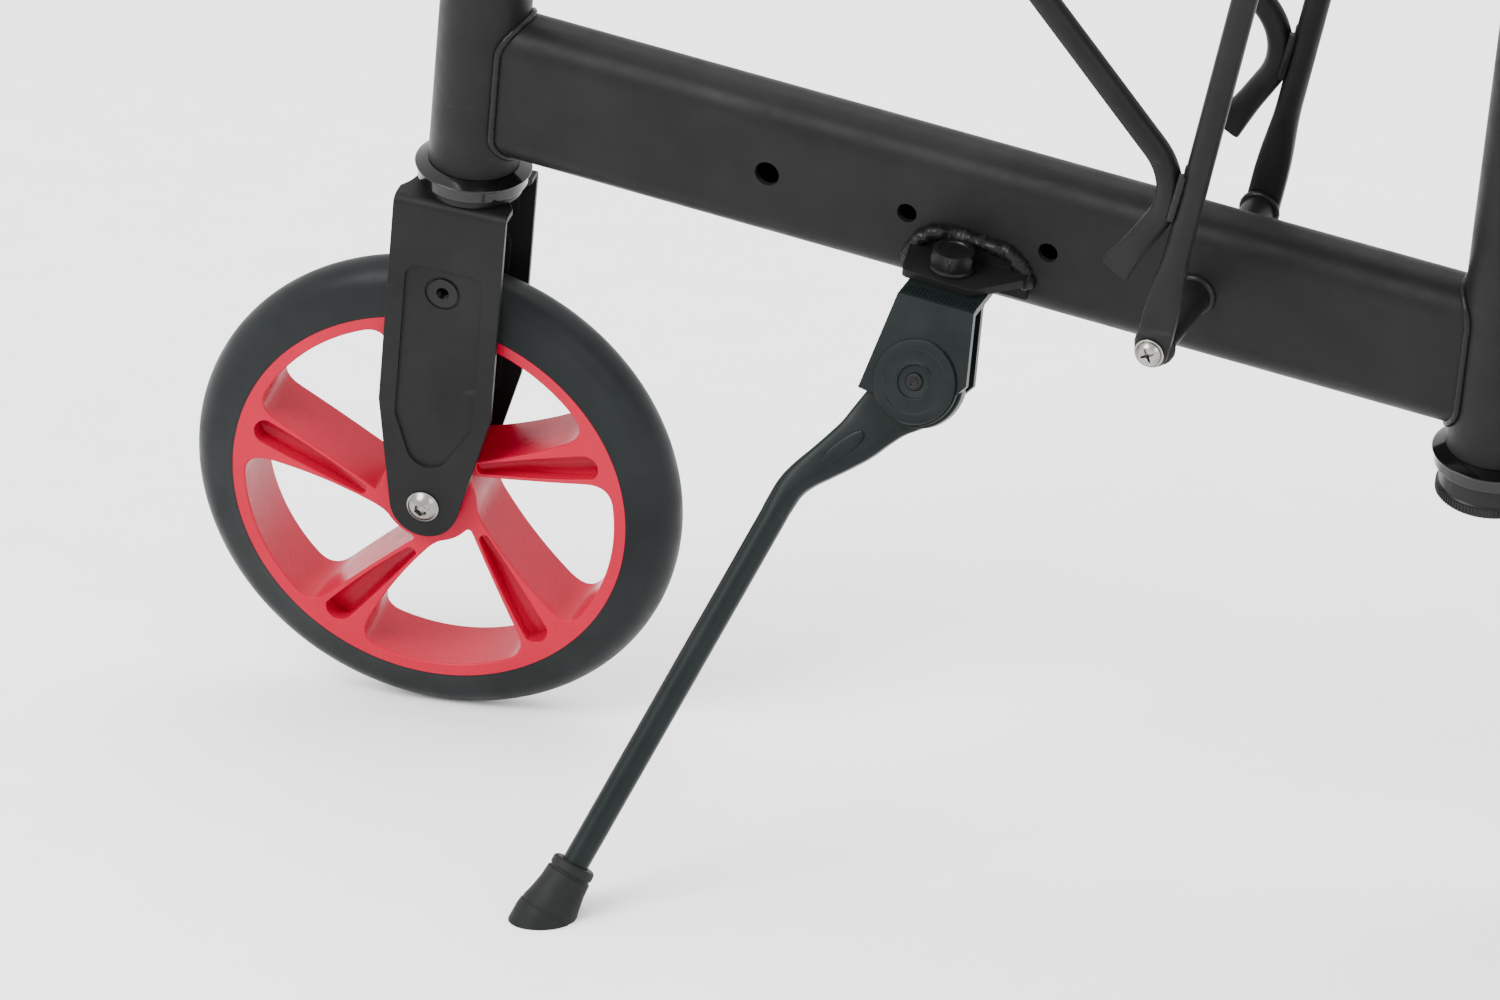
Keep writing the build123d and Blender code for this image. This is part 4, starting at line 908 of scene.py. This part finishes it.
# ---- rack ---------------------------------------------------------------------------------------------------
def make_rack():
    lean = math.radians(7.3)
    rise = Vector((math.sin(lean), 0, math.cos(lean)))
    tail = Vector((-math.sin(math.radians(29)), 0, -math.cos(math.radians(29))))
    bead_lines = []
    for side, name in ((-1, "left"), (1, "right")):
        y = side * RACK_SIDE
        foot = Vector((RACK_AT, y, 0))
        stops = [-6.8, -6.2, -4.5, -2, 0, 4, 10, 16, 22, 27, 32, 37, 42, 48, 60, 90, 140, RACK_TOP / rise.z]
        halves = [2.0, 3.6, 5.4, 6.5, 6.8, 6.8, 6.8, 6.8, 6.6, 6.3, 5.9, 5.5, 5.15, 5, 5, 5, 5, 5]
        thicks = [1.6, 2.2, 2.5, 2.5, 2.5, 2.5, 2.5, 2.5, 2.7, 3.1, 3.7, 4.3, 4.8, 5, 5, 5, 5, 5]
        squares = [2, 2.6, 3.4, 4, 4.5, 5, 5, 5, 4.5, 4, 3.2, 2.6, 2.2, 2, 2, 2, 2, 2]
        bm = bmesh.new()
        bar_along(bm, [foot + rise * s for s in stops], (1, 0, 0),
                  lambda i: (halves[i], thicks[i], squares[i]), 40)
        node = f"rack_upright_{name}"
        stand_in(node, bm, FRAME, 40)
        vertex = Vector((307.7, y, 73.3))
        tip = vertex + Vector((-112.7, 0, 112.7))
        path = bent_path([vertex + tail * 48.3, vertex, tip], 25.0, 16)
        first, run = path[0], [0.0]
        for a, b in zip(path, path[1:]):
            run.append(run[-1] + (b - a).length)
        dense = []
        for t in range(0, 20, 2):
            dense.append(first + (path[1] - path[0]).normalized() * t)
        path = dense + path[1:]
        def arm_section(i):
            if i >= 10:
                return 5.0, 5.0, 2
            t = i / 10
            return 5.0 + 1.2 * (1 - t) ** 1.5, 5.0 - 1.6 * (1 - t) ** 1.5, 2 + 2 * (1 - t)
        bm = bmesh.new()
        bar_along(bm, path, (1, 0, 0.3), arm_section, 40)
        node = f"rack_arm_{name}"
        stand_in(node, bm, FRAME, 40)
        for half in (-1, 1):
            seam = [(304.4, 3.4, 60), (305.6, 3.8, 67), (306.6, 3.9, 73), (307.6, 3.6, 80)]
            bead_lines.append(([(a, y + half * b, c) for a, b, c in seam], False))
        ring = [(RACK_AT + 6.6 * math.cos(k * math.pi / 12), side * 56.6, 6.6 * math.sin(k * math.pi / 12))
                for k in range(24)]
        bead_lines.append((ring, True))
        ring = [(RACK_AT + 7.0 * math.cos(k * math.pi / 12), side * 14.4, 7.0 * math.sin(k * math.pi / 12))
                for k in range(24)]
        bead_lines.append((ring, True))
    weld("rack_welds", bead_lines, 1.7, 0.35)
    bm = bmesh.new()
    round_bar(bm, (RACK_AT, -57.1, 0), (RACK_AT, 57.1, 0), 6.5, 48)
    stand_in("rack_cross_tube", bm, FRAME, 40)
    front, rear, y = 195.0, RACK_AT + RACK_TOP * math.tan(lean), RACK_SIDE
    corners = [(front, -y), (rear, -y), (rear, y), (front, y)]
    hoop = []
    for p in round_corners([(a, b, 0) for a, b in corners], 12, 8):
        hoop.append(Vector((p.x, p.y, HOOP_HEIGHT)))
    bm = bmesh.new()
    rings = []
    count = len(hoop)
    for i, p in enumerate(hoop):
        ahead = (hoop[(i + 1) % count] - hoop[i - 1]).normalized()
        out = Vector((ahead.y, -ahead.x, 0))
        rings.append([p + out * 5 * math.cos(a) + Vector((0, 0, 5 * math.sin(a)))
                      for a in [2 * math.pi * k / 24 for k in range(24)]])
    loft(bm, rings, closed=True)
    for k in range(1, 4):
        x = front + (rear - front) * k / 4
        round_bar(bm, (x, -y, HOOP_HEIGHT), (x, y, HOOP_HEIGHT), 3, 20)
    stand_in("rack_deck", bm, FRAME, 40)
    for side in (-1, 1):
        bm = bmesh.new()
        turn = Matrix.Rotation(math.radians(90 * (1 if side < 0 else -1)), 4, "X")
        seat = Matrix.Translation((RACK_AT, side * 62.3, 0)) @ turn
        turned_2(bm, [(2.6, 0), (5.9, 0), (5.9, 0.9), (2.6, 0.9)], 0.25, segments=48, centre=seat.translation,
                 turn=seat.to_3x3())
        top = seat @ Matrix.Translation((0, 0, 0.9)) @ Matrix.Rotation(0.5, 4, "Z")
        button_head(bm, top, 5.15, 3.2, 3.0, "cross")
        replaces = ["rack_screws"] if side < 0 else []
        piece(f"rack_screw_{'left' if side < 0 else 'right'}", bm, FRAME, "bright_steel", "frame", replaces, 40)


# ---- kickstand ----------------------------------------------------------------------------------------------
def make_kickstand():
    bm = bmesh.new()
    turned_2(bm, [(3.6, -9.4), (18, -9.4), (18, -3.4), (3.6, -3.4)], 0.8, segments=96)
    stops = [(-4, -8, -6.4, 13.5, 3.0, 6), (-9, -14, -6.4, 11.5, 3.0, 6), (-13.4, -20.5, -6.4, 10.2, 3.2, 5.5),
             (-17.4, -26.8, -6.4, 9.2, 3.9, 5), (-22.6, -33, -6.4, 8.2, 4.2, 4.5), (-29, -40, -6.4, 7.0, 4.3, 4),
             (-34.6, -46, -6.4, 6.1, 4.6, 3.2), (-38.9, -52.4, -6.2, 5.6, 5.0, 2.5),
             (-42, -62, -5.6, 5.35, 5.2, 2.1)]
    path = smooth_path(stops, 2.0)
    foot = Vector((-87.6, -236.6, 6.3))
    bend = Vector((-39.0, -51.0, -6.4))
    way = (foot - bend).normalized()
    for s in (14, 20, 40, 80, 120, 160, 184):
        p = bend + way * s
        path.append([p.x, p.y, p.z, 5.3, 5.3, 2])
    points = [Vector(p[:3]) for p in path]
    bar_along(bm, points, (1, -0.6, 0), lambda i: (path[i][3], path[i][4], path[i][5]), 40)
    stand_in("kickstand_leg", bm, KICK, 40)
    bm = bmesh.new()
    oval = []
    for k in range(9):
        t = k / 8
        half = 3.0 * math.sqrt(max(0.02, 1 - (2 * t - 1) ** 2)) ** 0.6
        oval.append((Vector((-15.6 - 12.6 * t, -24.3 - 15.6 * t, -2.4)), half))
    bar_along(bm, [spot for spot, _ in oval], (1, -0.6, 0), lambda i: (oval[i][1], 0.75, 3.5), 24)
    piece("kickstand_maker_panel", bm, KICK, "kickstand_paint", "kickstand_leg", (), 50)
    make_foot_cap(foot, way)
    soften("kickstand_housing", 0.9, 3)
    soften("kickstand_bracket", 0.7, 2)
    turned_piece("kickstand_cover", KICK, [
        (3.5, 0.02), (16.4, 0.02), (16.4, 1.2), (15.9, 1.8), (12.6, 1.8), (12.2, 1.5), (7.6, 1.5), (7.2, 1.9),
        (6.6, 1.9), (6.2, 1.1), (3.5, 1.1)], 0.2, 96, angle=30)
    turned_piece("kickstand_pin", KICK, [
        (0.02, -15.1), (6.5, -15.1), (6.5, -12.9), (3.45, -12.9), (3.45, 1.4), (3.0, 1.9), (1.9, 1.9), (1.3, 1.3),
        (0.02, 1.3)], 0.3, 48, angle=40)
    bm = bmesh.new()
    seat = Matrix.Translation((208.4, -25.9, -10.2)) @ Matrix.Rotation(math.radians(12), 4, "Z")
    hex_head(bm, seat, 16.0, 8.0, 9.4, 1.6, 4.9, 15.2)
    hex_head(bm, Matrix.Translation((208.4, -25.9, -16.4)) @ Matrix.Rotation(math.pi, 4, "X"), 16.0, 7.0)
    stand_in("kickstand_bolt", bm, FRAME, 22)
    arch = [(186.5, -20.5), (188.5, -14), (191, -8.5), (195, -5.0), (200, -3.2), (207, -2.6), (214, -2.8),
            (221, -3.2), (227, -4.2), (231, -7.2), (234, -11.5), (236.5, -16.5)]
    line = [(x, -15.3, z) for x, z in arch]
    weld("bracket_weld", [(line, False)], 3.2, 2.4, size=300.0, seed=7.0)
    under = [(187 + 49 * k / 12, -14.6, -13.6) for k in range(13)]
    weld("bracket_lower_weld", [(under, False)], 1.8, 0.9, size=420.0, seed=5.0)
    serrations()


def serrations():
    """The row of lock teeth along the housing's folded edge."""
    bm = bmesh.new()
    loft(bm, [[(-0.6, -3.0, 0), (0.6, -3.0, 0), (0, -3.0, 0.5)], [(-0.6, 3.0, 0), (0.6, 3.0, 0), (0, 3.0, 0.5)]])
    mesh = mesh_of("lock_tooth", bm)
    spots = [FRAME @ Matrix.Translation(Vector((197.2 + 1.52 * k, -44.4, -13.45)) * 0.001) for k in range(19)]
    repeat("housing_lock_teeth", mesh, spots, "frame", "kickstand_paint", angle=20)


def make_foot_cap(foot, way):
    """The flared rubber cap, cut flat where it stands on the ground."""
    up = -way
    side = Vector((1, 0, 0))
    side = (side - up * side.dot(up)).normalized()
    basis = Matrix((side, up.cross(side), up)).transposed()
    bm = bmesh.new()
    profile = [(5.35, 24), (7.9, 24), (8.7, 23.2), (8.8, 20.6), (8.3, 20.1), (8.3, 19.4), (9.0, 18.9), (9.3, 14.0),
               (10.4, 8.0), (11.4, 4.2), (11.4, 3.2), (11.9, 2.6), (12.2, 0), (12.2, -14), (0.02, -14), (0.02, 8),
               (5.35, 8)]
    turned_2(bm, profile, 0.35, segments=64, centre=foot, turn=basis)
    bmesh.ops.remove_doubles(bm, verts=bm.verts, dist=0.001)
    bmesh.ops.transform(bm, matrix=KICK @ MM, verts=bm.verts)
    ground = 0.0002
    cut = bmesh.ops.bisect_plane(bm, geom=bm.verts[:] + bm.edges[:] + bm.faces[:], plane_co=(0, 0, ground),
                                 plane_no=(0, 0, -1), clear_outer=True)
    edges = [e for e in cut["geom_cut"] if isinstance(e, bmesh.types.BMEdge)]
    bmesh.ops.edgenet_fill(bm, edges=edges)
    stand_in("kickstand_foot", bm, None, 40, merge=1e-7)


# ---- steering column and handlebar --------------------------------------------------------------------------
def make_column():
    turned_piece("column_tube", STEERED, [(12.85, 78.7), (17, 78.7), (17, 330), (12.85, 330)], 0.6, 96)
    turned_piece("handlebar_post", STEERED, [(10.5, 160), (12.5, 160), (12.5, 584.9), (10.5, 584.9)], 0.3, 96)
    marks = bmesh.new()
    for k in range(6):
        low, high = 352 + 18 * k, 352.8 + 18 * k
        turned_2(marks, [(12.3, low), (12.56, low), (12.56, high), (12.3, high)], 0.05, segments=64)
    piece("handlebar_height_rings", marks, STEERED, "black_oxide", "handlebar")
    half = bent_path([(0, 0, BAR_HEIGHT), (0, 70, BAR_HEIGHT), (14, 145, 640), (35, 285, 640)], 40.0, 14)
    left = [Vector((p.x, -p.y, p.z)) for p in reversed(half)]
    bm = bmesh.new()
    path = left[:-1] + half
    bar_along(bm, path, (0, 0, 1), lambda i: (11.1, 11.1, 2), 48, 1.5)
    stand_in("handlebar", bm, STEERED, 50)
    end, before = Vector((35, 285, 640)), Vector((14, 145, 640))
    way = (end - before).normalized()
    base = end - way * GRIP_REACH
    for name, side in (("grip_right", 1), ("grip_left", -1)):
        flip = Matrix.Diagonal((1, side, 1))
        ahead, start = flip @ way, flip @ base
        basis = Matrix((Vector((0, 0, 1)), ahead.cross(Vector((0, 0, 1))), ahead)).transposed()
        profile = [(11.15, 0), (19.8, 0), (20.5, 0.8), (20.5, 4.6), (19.8, 5.4), (16.6, 6.2)]
        for k in range(15):
            s = 12 + 6.4 * k
            swell = 15.2 + 1.1 * math.sin(math.pi * k / 14)
            profile += [(swell - 0.9, s), (swell, s + 0.7), (swell, s + 3.9), (swell - 0.9, s + 4.6)]
        profile += [(16.2, 110), (16.4, 117), (15.4, 119.2), (13, 120), (0.02, 120), (0.02, 116.2), (11.15, 116.2)]
        bm = bmesh.new()
        turned(bm, profile, 96, start, basis)
        stand_in(name, bm, STEERED, 40)


# ---- knee rest ----------------------------------------------------------------------------------------------
PAD = {"centre": Vector((402.0, 0, 252.0)), "long": 350.0, "wide": 190.0, "thick": 55.0, "corner": 42.0}


def slab_ring(inset, height, corner_steps=10):
    half_long, half_wide = PAD["long"] / 2 - inset, PAD["wide"] / 2 - inset
    corner = max(6.0, PAD["corner"] - inset)
    ring = []
    for cx, cy, start in ((1, 1, 0), (-1, 1, 90), (-1, -1, 180), (1, -1, 270)):
        for k in range(corner_steps + 1):
            angle = math.radians(start + 90 * k / corner_steps)
            ring.append(PAD["centre"] + Vector((cx * (half_long - corner) + corner * math.cos(angle),
                                                cy * (half_wide - corner) + corner * math.sin(angle), height)))
    return ring


def make_pad():
    """The stuffed knee pad: a crowned cushion with full sides, sewn round its upper edge."""
    bm = bmesh.new()
    levels = [(9, 0.6), (6, 2.4), (4.6, 7), (4.0, 16), (4.4, 28), (6, 38), (9.5, 44.5), (15, 48), (30, 49.5),
              (60, 50.5)]
    loft(bm, [slab_ring(inset, height) for inset, height in levels])
    pad = added("knee_pad_finished", mesh_of("knee_pad_finished", bm, FRAME @ MM))
    remesh = pad.modifiers.new("even", "REMESH")
    remesh.mode, remesh.voxel_size = "VOXEL", 0.005
    applied(pad)
    inverse = FRAME.inverted()
    before = [v.co.copy() for v in pad.data.vertices]
    group = pad.vertex_groups.new(name="seat")
    for v in pad.data.vertices:
        height = (inverse @ v.co).z * 1000 - PAD["centre"].z
        if height < 5:
            group.add([v.index], 1.0, "REPLACE")
    cloth = pad.modifiers.new("stuffing", "CLOTH")
    cloth.settings.vertex_group_mass = "seat"
    cloth.settings.use_pressure = True
    cloth.settings.uniform_pressure_force = 4.0
    cloth.settings.effector_weights.gravity = 0.0
    cloth.settings.tension_stiffness = 25
    cloth.settings.bending_stiffness = 0.8
    for number in range(1, 21):
        bpy.context.scene.frame_set(number)
    applied(pad)
    bpy.context.scene.frame_set(1)
    for v, old in zip(pad.data.vertices, before):
        move = v.co - old
        if move.length > 0.006:
            v.co = old + move.normalized() * 0.006
    for v in pad.data.vertices:
        p = inverse @ v.co * 1000 - PAD["centre"]
        p.z = max(0.3, min(54.6, p.z))
        p.x = max(-174.6, min(174.6, p.x))
        p.y = max(-94.6, min(94.6, p.y))
        v.co = FRAME @ ((p + PAD["centre"]) * 0.001)
    pad.vertex_groups.clear()
    fine = pad.modifiers.new("smooth", "SUBSURF")
    fine.levels = fine.render_levels = LEVELS
    applied(pad)
    dress(pad, "pad_cover", "knee_rest", ["knee_pad"], 180)
    make_seams(pad)


def make_seams(pad):
    """Piping round the pad's upper and lower edges, and a row of stitches beside the upper one."""
    tree = BVHTree.FromPolygons([v.co for v in pad.data.vertices], [tuple(p.vertices) for p in pad.data.polygons])
    lines = []
    for inset, height in ((4.0, 44.0), (4.0, 5.0)):
        line = []
        for p in slab_ring(inset, height, 24):
            hit = tree.find_nearest(FRAME @ (p * 0.001))
            line.append(hit[0] + hit[1] * 0.0002)
        lines.append(line)
    bm = bmesh.new()
    for line in lines:
        count = len(line)
        dense = []
        for i in range(count):
            steps = max(1, int((line[(i + 1) % count] - line[i]).length / 0.004))
            for k in range(steps):
                p = line[i].lerp(line[(i + 1) % count], k / steps)
                hit = tree.find_nearest(p)
                dense.append(hit[0] + hit[1] * 0.0004)
        count = len(dense)
        for _ in range(3):
            dense = [(dense[i - 1] + dense[i] * 2 + dense[(i + 1) % count]) / 4 for i in range(count)]
        rings = []
        for i, p in enumerate(dense):
            ahead = (dense[(i + 1) % count] - dense[i - 1]).normalized()
            out = tree.find_nearest(p)[1]
            out = (out - ahead * out.dot(ahead)).normalized()
            over = ahead.cross(out)
            rings.append([p + (out * math.cos(a) + over * math.sin(a)) * 0.0021
                          for a in [2 * math.pi * k / 12 for k in range(12)]])
        loft(bm, rings, closed=True)
    piece("knee_pad_piping", bm, None, "pad_cover", "knee_rest", (), 60, merge=1e-7)
    bm = bmesh.new()
    bar_along(bm, [Vector((-1.4, 0, 0)), Vector((-0.8, 0, 0.25)), Vector((0.8, 0, 0.25)), Vector((1.4, 0, 0))],
              (0, 1, 0), lambda i: (0.32, 0.32, 2), 8)
    small = mesh_of("stitch", bm)
    spots, ring = [], slab_ring(11.0, 52.0, 24)
    for i, p in enumerate(ring):
        q = ring[(i + 1) % len(ring)]
        steps = max(1, round((q - p).length / 4.4))
        for k in range(steps):
            a, b = p.lerp(q, k / steps), p.lerp(q, (k + 1) / steps)
            first, second = tree.find_nearest(FRAME @ (a * 0.001)), tree.find_nearest(FRAME @ (b * 0.001))
            along = (second[0] - first[0])
            if along.length < 1e-5:
                continue
            along.normalize()
            out = (first[1] - along * first[1].dot(along)).normalized()
            turn = Matrix((along, out.cross(along), out)).transposed().to_4x4()
            spots.append(Matrix.Translation(first[0] + out * 0.0001) @ turn)
    repeat("knee_pad_stitches", small, spots, "knee_rest", "pad_cover", THREAD)


def make_knee_rest():
    turned_piece("knee_sleeve", FRAME, [(12.7, -59.1), (14.3, -59.1), (14.3, 222), (12.7, 222)], 0.3, 96,
                 TUBE_SPACING)
    soften("knee_post", 0.6)
    soften("knee_board", 2.0, 3)
    make_pad()


# ---- everything else ----------------------------------------------------------------------------------------
def make_rest():
    for node, width, steps in (("fork_blade", 0.7, 3), ("fork_arch", 0.6, 2), ("fork_insert_nuts", 0.25, 2),
                               ("column_clamp", 0.8, 2), ("knee_clamp", 0.8, 2), ("column_lever", 1.2, 3),
                               ("knee_lever", 1.2, 3), ("handlebar_clamp", 0.8, 2), ("rear_socket", 1.2, 3),
                               ("rear_stays", 0.8, 2), ("brake_fender", 0.8, 2), ("brake_shoe", 0.6, 2)):
        soften(node, width, steps)
    done = {name for o in bpy.data.objects for name in (o.get("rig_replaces") or [])}
    for node, obj in frame["nodes"].items():
        if node not in done:
            obj.data.materials.clear()
            obj.data.materials.append(FINISH[SLOT[node]])


def make_studio():
    floor_mesh = bpy.data.meshes.new("studio_floor")
    floor_mesh.from_pydata([(-30, -30, 0), (30, -30, 0), (30, 30, 0), (-30, 30, 0)], [], [(0, 1, 2, 3)])
    floor = added("studio_floor", floor_mesh)
    floor_mesh.materials.append(finish_of("white_studio_floor", (0.93, 0.93, 0.935), 0.6, grain=0.004,
                                          depth=0.0002, strength=0.12, tint=0.012))
    world = bpy.data.worlds.new("studio_light")
    bpy.context.scene.world = world
    world.use_nodes = True
    fill(world.node_tree.nodes["Background"], {"Color": (1, 1, 1, 1), "Strength": 2.1})
    for name, place, aim, size, power in (
            ("key_panel", (-1.6, -2.6, 3.2), (0, 0, 0.2), 2.2, 260),
            ("top_panel", (0.6, 0.6, 3.6), (0, 0, 0), 3.0, 100),
            ("fill_panel", (3.2, -1.6, 1.6), (0, 0, 0.3), 1.8, 50)):
        light = bpy.data.lights.new(name, "AREA")
        light.energy, light.size = power, size
        obj = added(name, light)
        obj.location = place
        obj.rotation_euler = (Vector(aim) - Vector(place)).to_track_quat("-Z", "Y").to_euler()


def make_camera():
    camera = bpy.data.cameras.new("camera")
    camera.lens, camera.sensor_width, camera.clip_end = 288.0, 36.0, 100.0
    obj = added("camera", camera)
    hub = STEERED @ (FRONT_AXLE * 0.001)
    obj.location = hub + Vector((1.800, -4.005, 1.809))
    obj.rotation_euler = (math.radians(67.5), 0, math.radians(22.6))
    bpy.context.scene.camera = obj


make_tubes()
make_beam()
make_cups()
make_headset_rings()
make_wheels()
make_rack()
make_kickstand()
make_column()
make_knee_rest()
make_rest()
make_studio()
make_camera()
